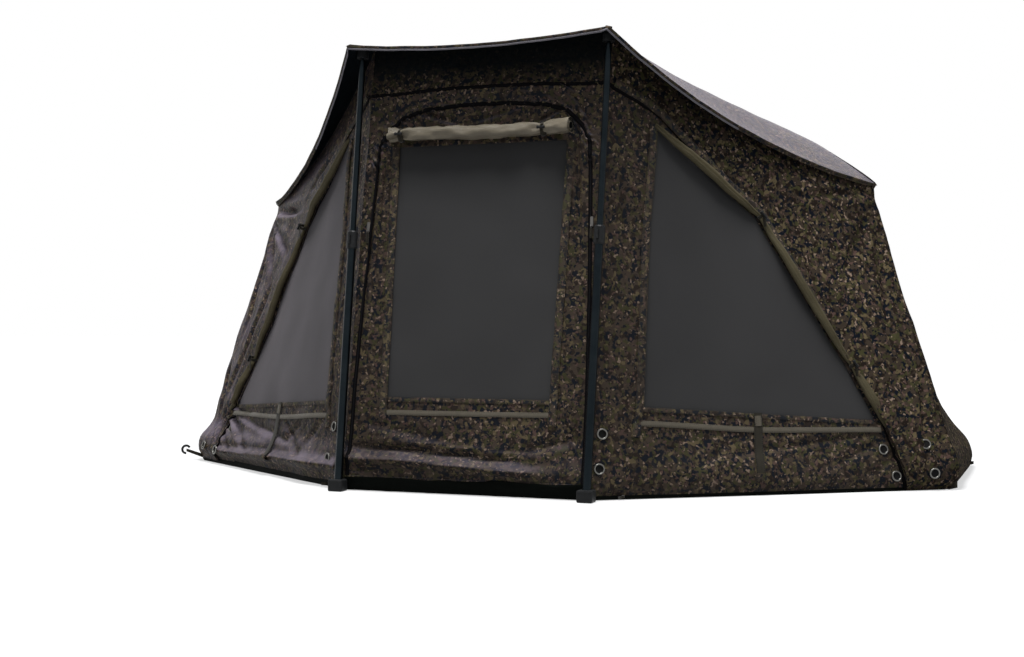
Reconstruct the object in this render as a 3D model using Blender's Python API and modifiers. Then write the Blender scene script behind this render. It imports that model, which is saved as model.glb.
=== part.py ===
"""Fishing brolly shelter: a tilted six-rib umbrella frame whose canopy reaches the ground
at the sides and back, closed in front by a zipped panel with a door and two side windows,
and held up at the front by two telescopic storm poles. Metres, +Z up, +Y to the back.

All points below are written from the ground midway between the two pole feet. The empty
named shelter carries every piece and moves that point to the front, so that the world
origin is the middle of the shelter's footprint.
"""

from math import cos, hypot, pi, radians, sin, tan

import bmesh
import bpy
from mathutils import Matrix, Vector

# Umbrella: where the hub is, how far it tips back and how its six ribs stand round it
HUB_BACK = 1.339
HUB_HEIGHT = 1.420
HUB_TILT = radians(30.6)
RIB_AZIMUTHS = {"front": radians(22.5), "side": radians(79.8), "rear": radians(146.6)}
RIB_LENGTH = 1.257
RIB_DROOP = radians(32.6)
RIB_BULGE = 0.030
RIB_RADIUS = 0.005
ROD_START = 0.018
ROD_END_SHORT = 0.012
PIVOT_RADIUS = 0.036
GORE_SAG = 0.022

# Fabric: one thickness for every sheet, and the gaps at seams, zips and touching pieces
FABRIC = 0.0020
SEAM_GAP = 0.0004
FIT_GAP = 0.0003
HEM_LIFT = 0.0016

# Where the walls leave the roof, as shares of a rib's length, and the roof's top opening
WALL_LINE = {"front": 0.905, "side": 0.990, "rear": 0.998}
ROOF_OPENING = 0.052

# Footprint of the hem, on the right-hand side
POLE_HEM = (0.393, 0.026)
SIDE_CORNER = (1.326, 0.706)
SIDE_BACK_CORNER = (1.323, 1.484)
REAR_CORNER = (0.650, 1.980)
REAR_MIDDLE = (0.0, 2.020)
SIDE_BACK_AT = 0.375

# Hub, ring, centre tube and runner
BOSS_RADIUS = 0.046
BOSS_HEIGHT = 0.022
BOSS_EDGE = 0.003
BLADE = 0.005
BLADE_SLACK = 0.0004
EYE_RADIUS = 0.0048
EYE_TAIL = 0.030
RING_WIRE = 0.0015
RING_SLACK = 0.0005
TUBE_RADIUS = 0.0125
TUBE_WALL = 0.0015
TUBE_LENGTH = 0.610
RUNNER_RADIUS = 0.034
RUNNER_HEIGHT = 0.030
RUNNER_SLIDE_GAP = 0.0005
RUNNER_PIVOT = 0.026
SLOT_FLOOR = 0.0185
CAP_RADIUS = 0.085
CAP_THICKNESS = 0.004
PLUG_DEPTH = 0.020
PLUG_HEAD = 0.012
PLUG_LIP = 0.001
BUTTON_RADIUS = 0.0046
BUTTON_EDGE = 0.0008
BUTTON_TRAVEL = 0.003
BUTTON_PROUD = 0.002
BUTTON_WELL_FLOOR = 0.0215

# Struts
STRUT_LENGTH = 0.300
STRUT_RADIUS = 0.0035
STRUT_AT = 0.260
STRUT_DROP = 0.012
LUG = 0.003
LUG_RADIUS = 0.0048
EAR = 0.002
EAR_RADIUS = 0.004
EAR_LENGTH = 0.022
TUBE_START = 0.012
FLAT_THICKNESS = 0.004
FLAT_RADIUS = 0.0042
FLAT_LENGTH = 0.040
FLAT_OVERLAP = 0.008
STRUT_SLACK = 0.0006
PIN_RADIUS = 0.0014
PIN_SLACK = 0.0004

# Storm poles
POLE_FOOT_X = 0.393
POLE_TOP_SHARE = 0.948
POLE_OUTSET = 0.003
POLE_RADIUS = 0.0125
UPPER_RADIUS = 0.0095
POLE_WALL = 0.0016
LOWER_START = 0.016
LOWER_LENGTH = 0.750
UPPER_START = 0.500
UPPER_PLUG = 0.020
COLLAR_WALL = 0.004
COLLAR_HEIGHT = 0.055
COLLAR_EDGE = (0.002, 0.004)
WING_REACH = 0.009
WING_THICKNESS = 0.006
WING_HEIGHT = 0.025
FOOT_WIDTH = 0.048
FOOT_DEPTH = 0.042
FOOT_HEIGHT = 0.036
FOOT_EDGE = 0.005
SPIGOT_RADIUS = 0.004
SPIGOT_LENGTH = 0.020
SPIGOT_TAPER = (0.002, 0.006)
SOCKET_RADIUS = 0.018
SOCKET_HEIGHT = 0.026
SOCKET_EDGE = 0.004
SOCKET_DROP = 0.0089
SOCKET_GAP = 0.001

# Front panel outlines, for the right-hand side. Those of the side panel are (share from the
# pole line to the corner line, share of the height), and those of the centre panel are (share
# from the middle to the pole line, share of the height).
# Each pair is a point on the panel's outer seam and the point of the opening that faces it.
SIDE_SEAM = (
    ((0.870, 0.000), (0.800, 0.200)),
    ((0.835, 0.190), (0.785, 0.245)),
    ((0.767, 0.372), (0.735, 0.372)),
    ((0.660, 0.560), (0.630, 0.550)),
    ((0.540, 0.733), (0.512, 0.712)),
    ((0.360, 0.812), (0.342, 0.784)),
    ((0.200, 0.874), (0.205, 0.838)),
    ((0.130, 0.886), (0.178, 0.842)),
)
SIDE_POLE_EDGE = (
    ((0.000, 0.886), (0.174, 0.790)),
    ((0.000, 0.600), (0.150, 0.600)),
    ((0.000, 0.300), (0.138, 0.400)),
)
SIDE_HEM = (
    ((0.000, 0.000), (0.130, 0.195)),
    ((0.290, 0.000), (0.353, 0.197)),
    ((0.580, 0.000), (0.577, 0.198)),
)
WALL_ROWS = (0.0, 0.13, 0.26, 0.40, 0.55, 0.68, 0.78, 0.86, 0.93, 1.0)
DOOR_FOOT = (0.9525, 0.0318)
DOOR_EDGE = (
    (0.9523, 0.2184),
    (0.9422, 0.4196),
    (0.9209, 0.5916),
    (0.9034, 0.7160),
    (0.8941, 0.7600),
    (0.8274, 0.7966),
    (0.7032, 0.8295),
    (0.5211, 0.8456),
    (0.2085, 0.8529),
)
DOOR_UPRIGHT = 5
ARCH = ((0.7476, 0.8866), (0.4985, 0.8917), (0.2492, 0.8932))
DOOR_WINDOW_BOTTOM = (0.6755, 0.2001)
DOOR_WINDOW_TOP = (0.7198, 0.7512)
DOOR_WINDOW_TOP_SHARES = (0.88, 0.66, 0.44, 0.18)

# Rolled covers, straps and zip sliders
DOOR_ROLL_RADIUS = 0.025
DOOR_ROLL_END = (0.7751, 0.7856)
SIDE_ROLL_RADIUS = 0.019
SIDE_ROLL_ENDS = (0.185, 0.862), (0.845, 0.185)
SIDE_ROLL_SAG = 0.012
SIDE_ROLL_CLEAR = 0.0013
SIDE_ROLL_TIES = 2
STRAP_WIDTH = 0.030
STRAP_THICKNESS = 0.002
STRAP_AT = 0.455
STRAP_HEIGHTS = (0.045, 0.190)
SLIDER_AT = 0.5843
SLIDER_SIZE = (0.010, 0.006, 0.030)
SLIDER_EDGE = 0.0015

CURVE_SIDES = 1
ROLL_SIDES = 6
TURN_STEPS = 24
CUT_PAST = 0.010
WELD = 0.00001

FOOTPRINT_MIDDLE = (REAR_MIDDLE[1] - FOOT_DEPTH / 2) / 2
INSIDE = Vector((0.0, 1.1, 0.5))
HUB = Vector((0.0, HUB_BACK, HUB_HEIGHT))
AXIS = Vector((0.0, sin(HUB_TILT), cos(HUB_TILT)))
FORWARD = Vector((0.0, -cos(HUB_TILT), sin(HUB_TILT)))
RIGHT = Vector((1.0, 0.0, 0.0))

for old in list(bpy.data.objects):
    bpy.data.objects.remove(old, do_unlink=True)

PARTS = bpy.data.collections.new("brolly_shelter")
CUTTERS = bpy.data.collections.new("cutters")
bpy.context.scene.collection.children.link(PARTS)
bpy.context.scene.collection.children.link(CUTTERS)
CUTTERS.hide_render = True

SHELTER = bpy.data.objects.new("shelter", None)
SHELTER.location = (0.0, -FOOTPRINT_MIDDLE, 0.0)
PARTS.objects.link(SHELTER)

COLOURS = {
    "camo_fabric": ((0.085, 0.065, 0.040), 0.75, 0.0),
    "roof_fabric": ((0.105, 0.088, 0.075), 0.60, 0.0),
    "cover_fabric": ((0.150, 0.130, 0.075), 0.85, 0.0),
    "window_mesh": ((0.045, 0.043, 0.045), 0.90, 0.0),
    "webbing": ((0.055, 0.050, 0.035), 0.85, 0.0),
    "pole_alloy": ((0.030, 0.040, 0.050), 0.35, 1.0),
    "black_plastic": ((0.020, 0.020, 0.022), 0.50, 0.0),
    "rib_rod": ((0.050, 0.050, 0.050), 0.45, 0.0),
    "steel": ((0.480, 0.480, 0.500), 0.30, 1.0),
    "zip_metal": ((0.300, 0.290, 0.270), 0.40, 1.0),
}


def material(slot):
    """The Principled material of a slot, made the first time that it is asked for."""
    found = bpy.data.materials.get(slot)
    if found:
        return found
    made = bpy.data.materials.new(slot)
    made.use_nodes = True
    shader = made.node_tree.nodes["Principled BSDF"]
    colour, roughness, metallic = COLOURS[slot]
    shader.inputs["Base Color"].default_value = (*colour, 1.0)
    shader.inputs["Roughness"].default_value = roughness
    shader.inputs["Metallic"].default_value = metallic
    return made


def add(name, data, slot, place=None):
    """A piece of the shelter, at a place given as a matrix from the pole feet's midpoint."""
    piece = bpy.data.objects.new(name, data)
    PARTS.objects.link(piece)
    piece.parent = SHELTER
    if place is not None:
        piece.location = place.to_translation()
        piece.rotation_mode = "QUATERNION"
        piece.rotation_quaternion = place.to_quaternion()
    data.materials.clear()
    data.materials.append(material(slot))
    return piece


def cutter(name, data, place):
    """A helper solid for a Boolean, which the render and the build leave out."""
    piece = bpy.data.objects.new(name, data)
    CUTTERS.objects.link(piece)
    piece.parent = SHELTER
    piece.location = place.to_translation()
    piece.rotation_mode = "QUATERNION"
    piece.rotation_quaternion = place.to_quaternion()
    piece.hide_render = True
    piece.display_type = "WIRE"
    return piece


def boolean(piece, other, operation):
    step = piece.modifiers.new(other.name, "BOOLEAN")
    step.operation = operation
    step.object = other
    return piece


def frame_at(origin, x_axis, z_axis):
    """The place whose X and Z axes are these two perpendicular directions."""
    x_axis = x_axis.normalized()
    z_axis = z_axis.normalized()
    y_axis = z_axis.cross(x_axis)
    turn = Matrix((x_axis, y_axis, z_axis)).transposed().to_4x4()
    return Matrix.Translation(origin) @ turn


def along(origin, z_axis):
    """A place whose Z axis is this direction, with its X axis as near to the right as it can be."""
    z_axis = z_axis.normalized()
    x_axis = (RIGHT - z_axis * RIGHT.dot(z_axis)).normalized()
    return frame_at(origin, x_axis, z_axis)


# Shapes

def mesh_of(bm, name):
    data = bpy.data.meshes.new(name)
    bm.to_mesh(data)
    bm.free()
    return data


def cylinder(name, radius, low, high, sides=TURN_STEPS):
    """A solid cylinder along Z from low to high."""
    bm = bmesh.new()
    bmesh.ops.create_cone(
        bm, cap_ends=True, segments=sides, radius1=radius, radius2=radius, depth=high - low,
        matrix=Matrix.Translation((0.0, 0.0, (low + high) / 2)),
    )
    return mesh_of(bm, name)


def block(name, low, high):
    """A box between two corners."""
    size = [top - bottom for bottom, top in zip(low, high)]
    middle = [(top + bottom) / 2 for bottom, top in zip(low, high)]
    bm = bmesh.new()
    bmesh.ops.create_cube(bm, size=1.0)
    bmesh.ops.scale(bm, vec=size, verts=bm.verts)
    bmesh.ops.translate(bm, vec=middle, verts=bm.verts)
    return mesh_of(bm, name)


def turned(name, profile, slot, place, closed=True, steps=TURN_STEPS):
    """A profile of (radius, height) points, turned about Z, listed down its outer side."""
    bm = bmesh.new()
    corners = [bm.verts.new((radius, 0.0, height)) for radius, height in profile]
    for first, second in zip(corners, corners[1:]):
        bm.edges.new((first, second))
    if closed:
        bm.edges.new((corners[-1], corners[0]))
    piece = add(name, mesh_of(bm, name), slot, place)
    screw = piece.modifiers.new("turn", "SCREW")
    screw.steps = steps
    screw.render_steps = steps
    screw.use_merge_vertices = True
    screw.merge_threshold = WELD
    screw.use_smooth_shade = True
    return piece


def torus(name, major, minor, sides, around):
    """A ring about Z, swept from a small circle by a Spin."""
    bm = bmesh.new()
    bmesh.ops.create_circle(
        bm, segments=sides, radius=minor,
        matrix=Matrix.Translation((major, 0.0, 0.0)) @ Matrix.Rotation(pi / 2, 4, "X"),
    )
    bmesh.ops.spin(
        bm, geom=bm.edges[:], cent=(0, 0, 0), axis=(0, 0, 1), angle=2 * pi, steps=around,
        use_merge=True,
    )
    bmesh.ops.remove_doubles(bm, verts=bm.verts, dist=WELD)
    bmesh.ops.recalc_face_normals(bm, faces=bm.faces)
    return mesh_of(bm, name)


def circle(centre, radius, sides=12):
    """Points round a circle in a plate's outline."""
    return [
        (centre[0] + radius * cos(2 * pi * n / sides), centre[1] + radius * sin(2 * pi * n / sides))
        for n in range(sides)
    ]


def stadium(start, end, radius, sides=6):
    """The outline round two equal circles: a bar with round ends, along the plate's first axis."""
    out = []
    for (x, y), first in (((end, 0.0), -pi / 2), ((start, 0.0), pi / 2)):
        for n in range(sides + 1):
            turn = first + pi * n / sides
            out.append((x + radius * cos(turn), y + radius * sin(turn)))
    return out


def curve_mesh(curve, name):
    """A curve's solid as a mesh with welded caps, which a Boolean can use."""
    holder = bpy.data.objects.new(name, curve)
    PARTS.objects.link(holder)
    bpy.context.view_layer.update()
    data = bpy.data.meshes.new_from_object(holder.evaluated_get(bpy.context.evaluated_depsgraph_get()))
    bpy.data.objects.remove(holder, do_unlink=True)
    bm = bmesh.new()
    bm.from_mesh(data)
    bmesh.ops.remove_doubles(bm, verts=bm.verts, dist=WELD)
    bmesh.ops.recalc_face_normals(bm, faces=bm.faces)
    bm.to_mesh(data)
    bm.free()
    return data


def plate(name, outlines, thickness, middle=0.0):
    """A flat plate in the XZ plane, centred on Y = middle: later outlines are holes in the first."""
    curve = bpy.data.curves.new(name, "CURVE")
    curve.dimensions = "2D"
    curve.fill_mode = "BOTH"
    curve.extrude = thickness / 2
    for outline in outlines:
        spline = curve.splines.new("POLY")
        spline.points.add(len(outline) - 1)
        for point, (x, y) in zip(spline.points, outline):
            point.co = (x, y, 0.0, 1.0)
        spline.use_cyclic_u = True
    data = curve_mesh(curve, name)
    data.transform(Matrix.Translation((0.0, middle, 0.0)) @ Matrix.Rotation(pi / 2, 4, "X"))
    return data


def rod(name, points, radius, resolution=CURVE_SIDES):
    """A round bar through these points, as a mesh."""
    curve = bpy.data.curves.new(name, "CURVE")
    curve.dimensions = "3D"
    curve.bevel_depth = radius
    curve.bevel_resolution = resolution
    curve.use_fill_caps = True
    spline = curve.splines.new("POLY")
    spline.points.add(len(points) - 1)
    for point, place in zip(spline.points, points):
        point.co = (*place, 1.0)
    return curve_mesh(curve, name)


# Fabric sheets

def sheet(name, bm, slot, pivot):
    """Thickens an open surface inwards. Its object's origin is the pivot that it folds about."""
    bmesh.ops.remove_doubles(bm, verts=bm.verts, dist=WELD)
    bmesh.ops.recalc_face_normals(bm, faces=bm.faces)
    bm.normal_update()
    middle = sum((v.co for v in bm.verts), Vector()) / len(bm.verts)
    facing = sum((f.normal * f.calc_area() for f in bm.faces), Vector())
    if facing.dot(middle - INSIDE) < 0:
        bmesh.ops.reverse_faces(bm, faces=bm.faces)
    bmesh.ops.translate(bm, vec=-pivot, verts=bm.verts)
    piece = add(name, mesh_of(bm, name), slot, Matrix.Translation(pivot))
    thick = piece.modifiers.new("fabric", "SOLIDIFY")
    thick.thickness = FABRIC
    thick.offset = -1.0
    thick.use_even_offset = True
    return piece


def grid(rows):
    """An open surface through rows of points."""
    bm = bmesh.new()
    lines = [[bm.verts.new(point) for point in row] for row in rows]
    for low, high in zip(lines, lines[1:]):
        for n in range(len(low) - 1):
            bm.faces.new((low[n], low[n + 1], high[n + 1], high[n]))
    return bm


def ring(outer, inner):
    """An open surface between two closed outlines that have a point for each other's."""
    bm = bmesh.new()
    out = [bm.verts.new(point) for point in outer]
    inn = [bm.verts.new(point) for point in inner]
    for n in range(len(out)):
        m = (n + 1) % len(out)
        bm.faces.new((out[n], out[m], inn[m], inn[n]))
    return bm


def patch(outline):
    """One filled outline, cut into triangles."""
    bm = bmesh.new()
    bm.faces.new([bm.verts.new(point) for point in outline])
    bmesh.ops.triangulate(bm, faces=bm.faces)
    return bm


def inset(outline, distance):
    """A closed outline drawn in by a distance, in the plane of its own corners."""
    count = len(outline)
    normal = sum(
        (outline[n].cross(outline[(n + 1) % count]) for n in range(count)), Vector()
    ).normalized()
    out = []
    for n, point in enumerate(outline):
        before = (point - outline[n - 1]).normalized()
        after = (outline[(n + 1) % count] - point).normalized()
        one = normal.cross(before)
        two = normal.cross(after)
        mitre = (one + two).normalized()
        out.append(point + mitre * (distance / max(mitre.dot(one), 0.5)))
    return out


def mirrored(points):
    return [Vector((-x, y, z)) for x, y, z in points]


# Umbrella geometry

RIBS = (
    ("front_right", "front", 1),
    ("side_right", "side", 1),
    ("rear_right", "rear", 1),
    ("rear_left", "rear", -1),
    ("side_left", "side", -1),
    ("front_left", "front", -1),
)
RIDGE_RISE = (RIB_RADIUS + FIT_GAP + FABRIC) / cos(radians(30))


def outward(azimuth):
    """The direction square to the hub's axis at this azimuth, 0 to the front."""
    return RIGHT * sin(azimuth) + FORWARD * cos(azimuth)


def rib_azimuth(number):
    _, kind, side = RIBS[number % len(RIBS)]
    return side * RIB_AZIMUTHS[kind]


def rib_frame(number):
    """A rib's own place: origin at its hinge, X along the rib, Z out of the canopy."""
    radial = outward(rib_azimuth(number))
    x_axis = radial * cos(RIB_DROOP) - AXIS * sin(RIB_DROOP)
    z_axis = radial * sin(RIB_DROOP) + AXIS * cos(RIB_DROOP)
    return frame_at(HUB + radial * PIVOT_RADIUS, x_axis, z_axis)


def bulge(share):
    """How far a rib stands out of its straight line, at a share of its length."""
    return RIB_BULGE * sin(pi * share) ** 2


def rib_point(number, share, rise=0.0):
    return rib_frame(number) @ Vector((RIB_LENGTH * share, 0.0, bulge(share) + rise))


def roof_point(number, across, share):
    """The roof's outer face between a rib and the next one, slack between the two."""
    first = rib_point(number, share, RIDGE_RISE)
    second = rib_point(number + 1, share, RIDGE_RISE)
    down = (outward(rib_azimuth(number)) + outward(rib_azimuth(number + 1))).normalized()
    down = (down * sin(RIB_DROOP) + AXIS * cos(RIB_DROOP)).normalized()
    return first.lerp(second, across) - down * (GORE_SAG * 4 * across * (1 - across) * share)


def wall_share(number, across):
    """Where the wall hangs from the roof, as a share of the ribs' length."""
    first = WALL_LINE[RIBS[number % len(RIBS)][1]]
    second = WALL_LINE[RIBS[(number + 1) % len(RIBS)][1]]
    return first + (second - first) * across


ACROSS = 8
DOWN = 7
WALL_CLEAR = FABRIC + 2 * SEAM_GAP


def under_roof(number, across):
    """The top of a wall: just inside the roof's inner face."""
    step = 1 / ACROSS
    share = wall_share(number, across)
    here = roof_point(number, across, share)
    inward = rib_point(number, 0).lerp(rib_point(number + 1, 0), 0.5) - here
    low = max(across - step, 0.0)
    high = min(across + step, 1.0)
    sideways = roof_point(number, high, share) - roof_point(number, low, share)
    normal = sideways.cross(inward).normalized()
    if normal.dot(AXIS) < 0:
        normal = -normal
    if across in (0.0, 1.0):
        other = (number - 1, 1.0) if across == 0.0 else (number + 1, 0.0)
        beside = under_normal(*other)
        both = (normal + beside).normalized()
        return here - both * (WALL_CLEAR / both.dot(normal))
    return here - normal * WALL_CLEAR


def under_normal(number, across):
    """The roof's normal on one side of a rib."""
    step = 1 / ACROSS
    share = wall_share(number, across)
    here = roof_point(number, across, share)
    inward = rib_point(number, 0).lerp(rib_point(number + 1, 0), 0.5) - here
    away = step if across == 0.0 else 1 - step
    sideways = roof_point(number, away, share) - here
    normal = sideways.cross(inward).normalized()
    return normal if normal.dot(AXIS) > 0 else -normal


def roof_levels(limit):
    """The shares of a rib's length at which the roof has its rows, down to the wall's line."""
    top = ROOF_OPENING / RIB_LENGTH
    return [top + (limit - top) * level / DOWN for level in range(DOWN + 1)] + [1.0]


def roof_sector(number):
    """The roof over one rib, from the middle of one gore to the middle of the next."""
    columns = [(number - 1, n / ACROSS) for n in range(ACROSS // 2, ACROSS)]
    columns += [(number, n / ACROSS) for n in range(ACROSS // 2 + 1)]
    rows = []
    for level in range(DOWN + 2):
        row = []
        for gore, across in columns:
            share = roof_levels(wall_share(gore, across))[level]
            point = roof_point(gore, across, share)
            if across == 0.5:
                away = roof_point(gore, 1.0, share) - roof_point(gore, 0.0, share)
                side = 1 if gore == number - 1 else -1
                point = point + away.normalized() * (side * SEAM_GAP / 2)
            row.append(point)
        rows.append(row)
    return grid(rows)


# Front panel geometry, right-hand side

# How far the walls' top corners stop short of the front ribs, the gap that a sheet's inner
# edge needs at the fold by the pole, and a small step for directions on the side panel
NOTCH = 0.018
FOLD_GAP = FABRIC * tan(radians(27))
NUDGE = 0.01
# Gores, numbered by the rib on their right-hand side of the front, going round to the left
FLANK = 0
SIDE_GORE = 1
REAR_GORE = 2
FRONT_GORE = 5


def lifted(corner):
    return Vector((corner[0], corner[1], HEM_LIFT))


def front_top(share):
    return under_roof(FLANK, share)


def side_panel(share, height):
    """The curved surface between the pole line and the corner line."""
    hem = lifted(POLE_HEM).lerp(lifted(SIDE_CORNER), share)
    return hem.lerp(front_top(share), height)


def panel_edge(share, height):
    """A point on the side panel's outline, kept clear of the fold where it is the pole line."""
    point = side_panel(share, height)
    if share == 0.0:
        point = point + (side_panel(0.1, height) - point).normalized() * FOLD_GAP
    return point


def centre_panel(share, height):
    """The flat surface between the two pole lines."""
    point = side_panel(0.0, height)
    return Vector((point.x * share, point.y, point.z))


PANEL_OUT = (side_panel(0.0, 1.0) - side_panel(0.0, 0.0)).cross(RIGHT).normalized()
if PANEL_OUT.y > 0:
    PANEL_OUT = -PANEL_OUT


def hem_point(gore, across):
    """The hem below each part of the side and rear gores, on the right."""
    if gore == REAR_GORE:
        return lifted(REAR_CORNER).lerp(lifted(REAR_MIDDLE), across * 2)
    if across <= SIDE_BACK_AT:
        return lifted(SIDE_CORNER).lerp(lifted(SIDE_BACK_CORNER), across / SIDE_BACK_AT)
    run = (across - SIDE_BACK_AT) / (1 - SIDE_BACK_AT)
    return lifted(SIDE_BACK_CORNER).lerp(lifted(REAR_CORNER), run)


# Pieces: hub, ring, tube and runner

def slot_cutters(piece, width, inner, rim, height, name, axial):
    """Cuts a radial slot for each rib or strut, through the full height and the rim."""
    for number, (label, _, _) in enumerate(RIBS):
        radial = outward(rib_azimuth(number))
        place = frame_at(HUB + AXIS * axial, radial, AXIS)
        low = (inner, -width / 2, -height)
        high = (rim + CUT_PAST, width / 2, height)
        boolean(piece, cutter(f"{name}_{label}", block(name, low, high), place), "DIFFERENCE")


def hub_parts():
    at_hub = along(HUB, AXIS)
    half = BOSS_HEIGHT / 2
    chamfer = BOSS_RADIUS - BOSS_EDGE
    boss = turned(
        "hub_boss",
        [(0.0, half), (chamfer, half), (BOSS_RADIUS, half - BOSS_EDGE),
         (BOSS_RADIUS, BOSS_EDGE - half), (chamfer, -half), (0.0, -half)],
        "black_plastic", at_hub, closed=False,
    )
    inner = PIVOT_RADIUS - EYE_RADIUS - 6 * BLADE_SLACK
    slot_cutters(boss, BLADE + 2 * BLADE_SLACK, inner, BOSS_RADIUS, BOSS_HEIGHT, "boss_slot", 0.0)
    groove = torus("ring_groove", PIVOT_RADIUS, RING_WIRE + RING_SLACK, 8, 36)
    boolean(boss, cutter("ring_groove", groove, at_hub), "DIFFERENCE")
    add("rib_ring", torus("rib_ring", PIVOT_RADIUS, RING_WIRE, 8, 36), "steel", at_hub)

    out_to_rim = CAP_RADIUS - PIVOT_RADIUS - RIDGE_RISE * sin(RIB_DROOP)
    ridge_at_rim = RIDGE_RISE * cos(RIB_DROOP) - out_to_rim * tan(RIB_DROOP)
    under = half + FIT_GAP
    rim = ridge_at_rim + 3 * SEAM_GAP
    turned(
        "hub_cap",
        [(0.0, under + CAP_THICKNESS), (BOSS_RADIUS, under + CAP_THICKNESS),
         (CAP_RADIUS, rim + CAP_THICKNESS / 2), (CAP_RADIUS, rim), (BOSS_RADIUS + CAP_THICKNESS / 2, under),
         (0.0, under)],
        "black_plastic", at_hub, closed=False, steps=36,
    )

    top = -half - FIT_GAP
    bore = TUBE_RADIUS - TUBE_WALL
    turned(
        "centre_tube",
        [(TUBE_RADIUS, top), (TUBE_RADIUS, top - TUBE_LENGTH), (bore, top - TUBE_LENGTH), (bore, top)],
        "pole_alloy", at_hub,
    )
    low = top - TUBE_LENGTH
    plug = bore - FIT_GAP
    lip = TUBE_RADIUS + PLUG_LIP
    turned(
        "tube_end_plug",
        [(0.0, low + PLUG_DEPTH), (plug, low + PLUG_DEPTH), (plug, low - FIT_GAP), (lip, low - FIT_GAP),
         (lip, low - PLUG_HEAD * 2 / 3), (lip - PLUG_HEAD / 3, low - PLUG_HEAD), (0.0, low - PLUG_HEAD)],
        "black_plastic", at_hub, closed=False,
    )


def strut_seat():
    """In a rib's own frame: where its strut hangs, below the rib."""
    return Vector((STRUT_AT, 0.0, bulge(STRUT_AT / RIB_LENGTH) - STRUT_DROP))


def runner_axial():
    """How far along the hub's axis the runner's pivots lie when the struts are straight to them."""
    seat = strut_seat()
    out = PIVOT_RADIUS + seat.x * cos(RIB_DROOP) + seat.z * sin(RIB_DROOP)
    down = -seat.x * sin(RIB_DROOP) + seat.z * cos(RIB_DROOP)
    reach = out - RUNNER_PIVOT
    return down - (STRUT_LENGTH ** 2 - reach ** 2) ** 0.5


def runner_parts():
    axial = runner_axial()
    place = along(HUB + AXIS * axial, AXIS)
    half = RUNNER_HEIGHT / 2
    bore = TUBE_RADIUS + RUNNER_SLIDE_GAP
    runner = turned(
        "runner",
        [(RUNNER_RADIUS, half), (RUNNER_RADIUS, -half), (bore, -half), (bore, half)],
        "black_plastic", place,
    )
    width = FLAT_THICKNESS + 2 * STRUT_SLACK
    slot_cutters(runner, width, SLOT_FLOOR, RUNNER_RADIUS, RUNNER_HEIGHT, "runner_slot", axial)
    outwards = along(HUB + AXIS * axial, FORWARD)
    well = cylinder("button_well", BUTTON_RADIUS + FIT_GAP, BUTTON_WELL_FLOOR, RUNNER_RADIUS + CUT_PAST, 16)
    boolean(runner, cutter("button_well", well, outwards), "DIFFERENCE")
    start = BUTTON_WELL_FLOOR + BUTTON_TRAVEL + FIT_GAP
    end = RUNNER_RADIUS + BUTTON_TRAVEL + BUTTON_PROUD
    push = along(HUB + AXIS * axial + FORWARD * start, FORWARD)
    stub = cylinder("runner_button", BUTTON_RADIUS, 0.0, end - start, 16)
    button = add("runner_button", stub, "steel", push)
    soften = button.modifiers.new("edge", "BEVEL")
    soften.width = BUTTON_EDGE
    soften.segments = 1
    soften.limit_method = "ANGLE"


def ribs():
    seat = strut_seat()
    for number, (label, kind, _) in enumerate(RIBS):
        last = rib_end_share() if kind == "front" else WALL_LINE[kind] - ROD_END_SHORT
        first = ROD_START / RIB_LENGTH
        between = [share for share in roof_levels(WALL_LINE[kind]) if first < share < last]
        shares = [first, *between, last]
        points = [(RIB_LENGTH * share, 0.0, bulge(share)) for share in shares]
        place = rib_frame(number)
        name = f"rib_{label}"
        rib = add(name, rod(name, points, RIB_RADIUS), "rib_rod", place)
        hole = circle((0.0, 0.0), RING_WIRE + RING_SLACK + FIT_GAP)
        eye = [stadium(0.0, EYE_TAIL, EYE_RADIUS), hole]
        boolean(rib, cutter(f"{name}_eye", plate(f"{name}_eye", eye, BLADE), place), "UNION")
        pin_hole = circle((seat.x, seat.z), PIN_RADIUS + PIN_SLACK)
        lug = [(seat.x + x, seat.z + z) for x, z in lug_outline()]
        boolean(rib, cutter(f"{name}_lug", plate(f"{name}_lug", [lug, pin_hole], LUG), place), "UNION")


def lug_outline():
    """The plate under a rib that its strut hangs from, round its pin's centre."""
    turns = [pi + pi * n / 6 for n in range(7)]
    low = [(LUG_RADIUS * cos(turn), LUG_RADIUS * sin(turn)) for turn in turns]
    wide = LUG_RADIUS * 1.6
    into_rib = STRUT_DROP - RIB_RADIUS / 5
    return low + [(wide, into_rib), (-wide, into_rib)]


def struts():
    seat = strut_seat()
    for number, (label, _, _) in enumerate(RIBS):
        rib = rib_frame(number)
        top = rib @ seat
        radial = outward(rib_azimuth(number))
        foot = HUB + AXIS * runner_axial() + radial * RUNNER_PIVOT
        direction = (foot - top).normalized()
        place = frame_at(top, direction, direction.cross(rib.to_3x3() @ Vector((0, 1, 0))))
        name = f"strut_{label}"
        tube = rod(name, [(TUBE_START, 0, 0), (STRUT_LENGTH - FLAT_LENGTH, 0, 0)], STRUT_RADIUS)
        strut = add(name, tube, "pole_alloy", place)
        ear_at = LUG / 2 + PIN_SLACK + EAR / 2
        for side in (-1, 1):
            ear = plate(f"{name}_ear", [stadium(0.0, EAR_LENGTH, EAR_RADIUS)], EAR, side * ear_at)
            boolean(strut, cutter(f"{name}_ear", ear, place), "UNION")
        pin = cylinder(f"{name}_pin", PIN_RADIUS, -ear_at - EAR / 4, ear_at + EAR / 4, 8)
        pin.transform(Matrix.Rotation(pi / 2, 4, "X"))
        boolean(strut, cutter(f"{name}_pin", pin, place), "UNION")
        outline = stadium(STRUT_LENGTH - FLAT_LENGTH - FLAT_OVERLAP, STRUT_LENGTH, FLAT_RADIUS)
        flat = plate(f"{name}_flat", [outline], FLAT_THICKNESS)
        boolean(strut, cutter(f"{name}_flat", flat, place), "UNION")


# Pieces: storm poles

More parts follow.
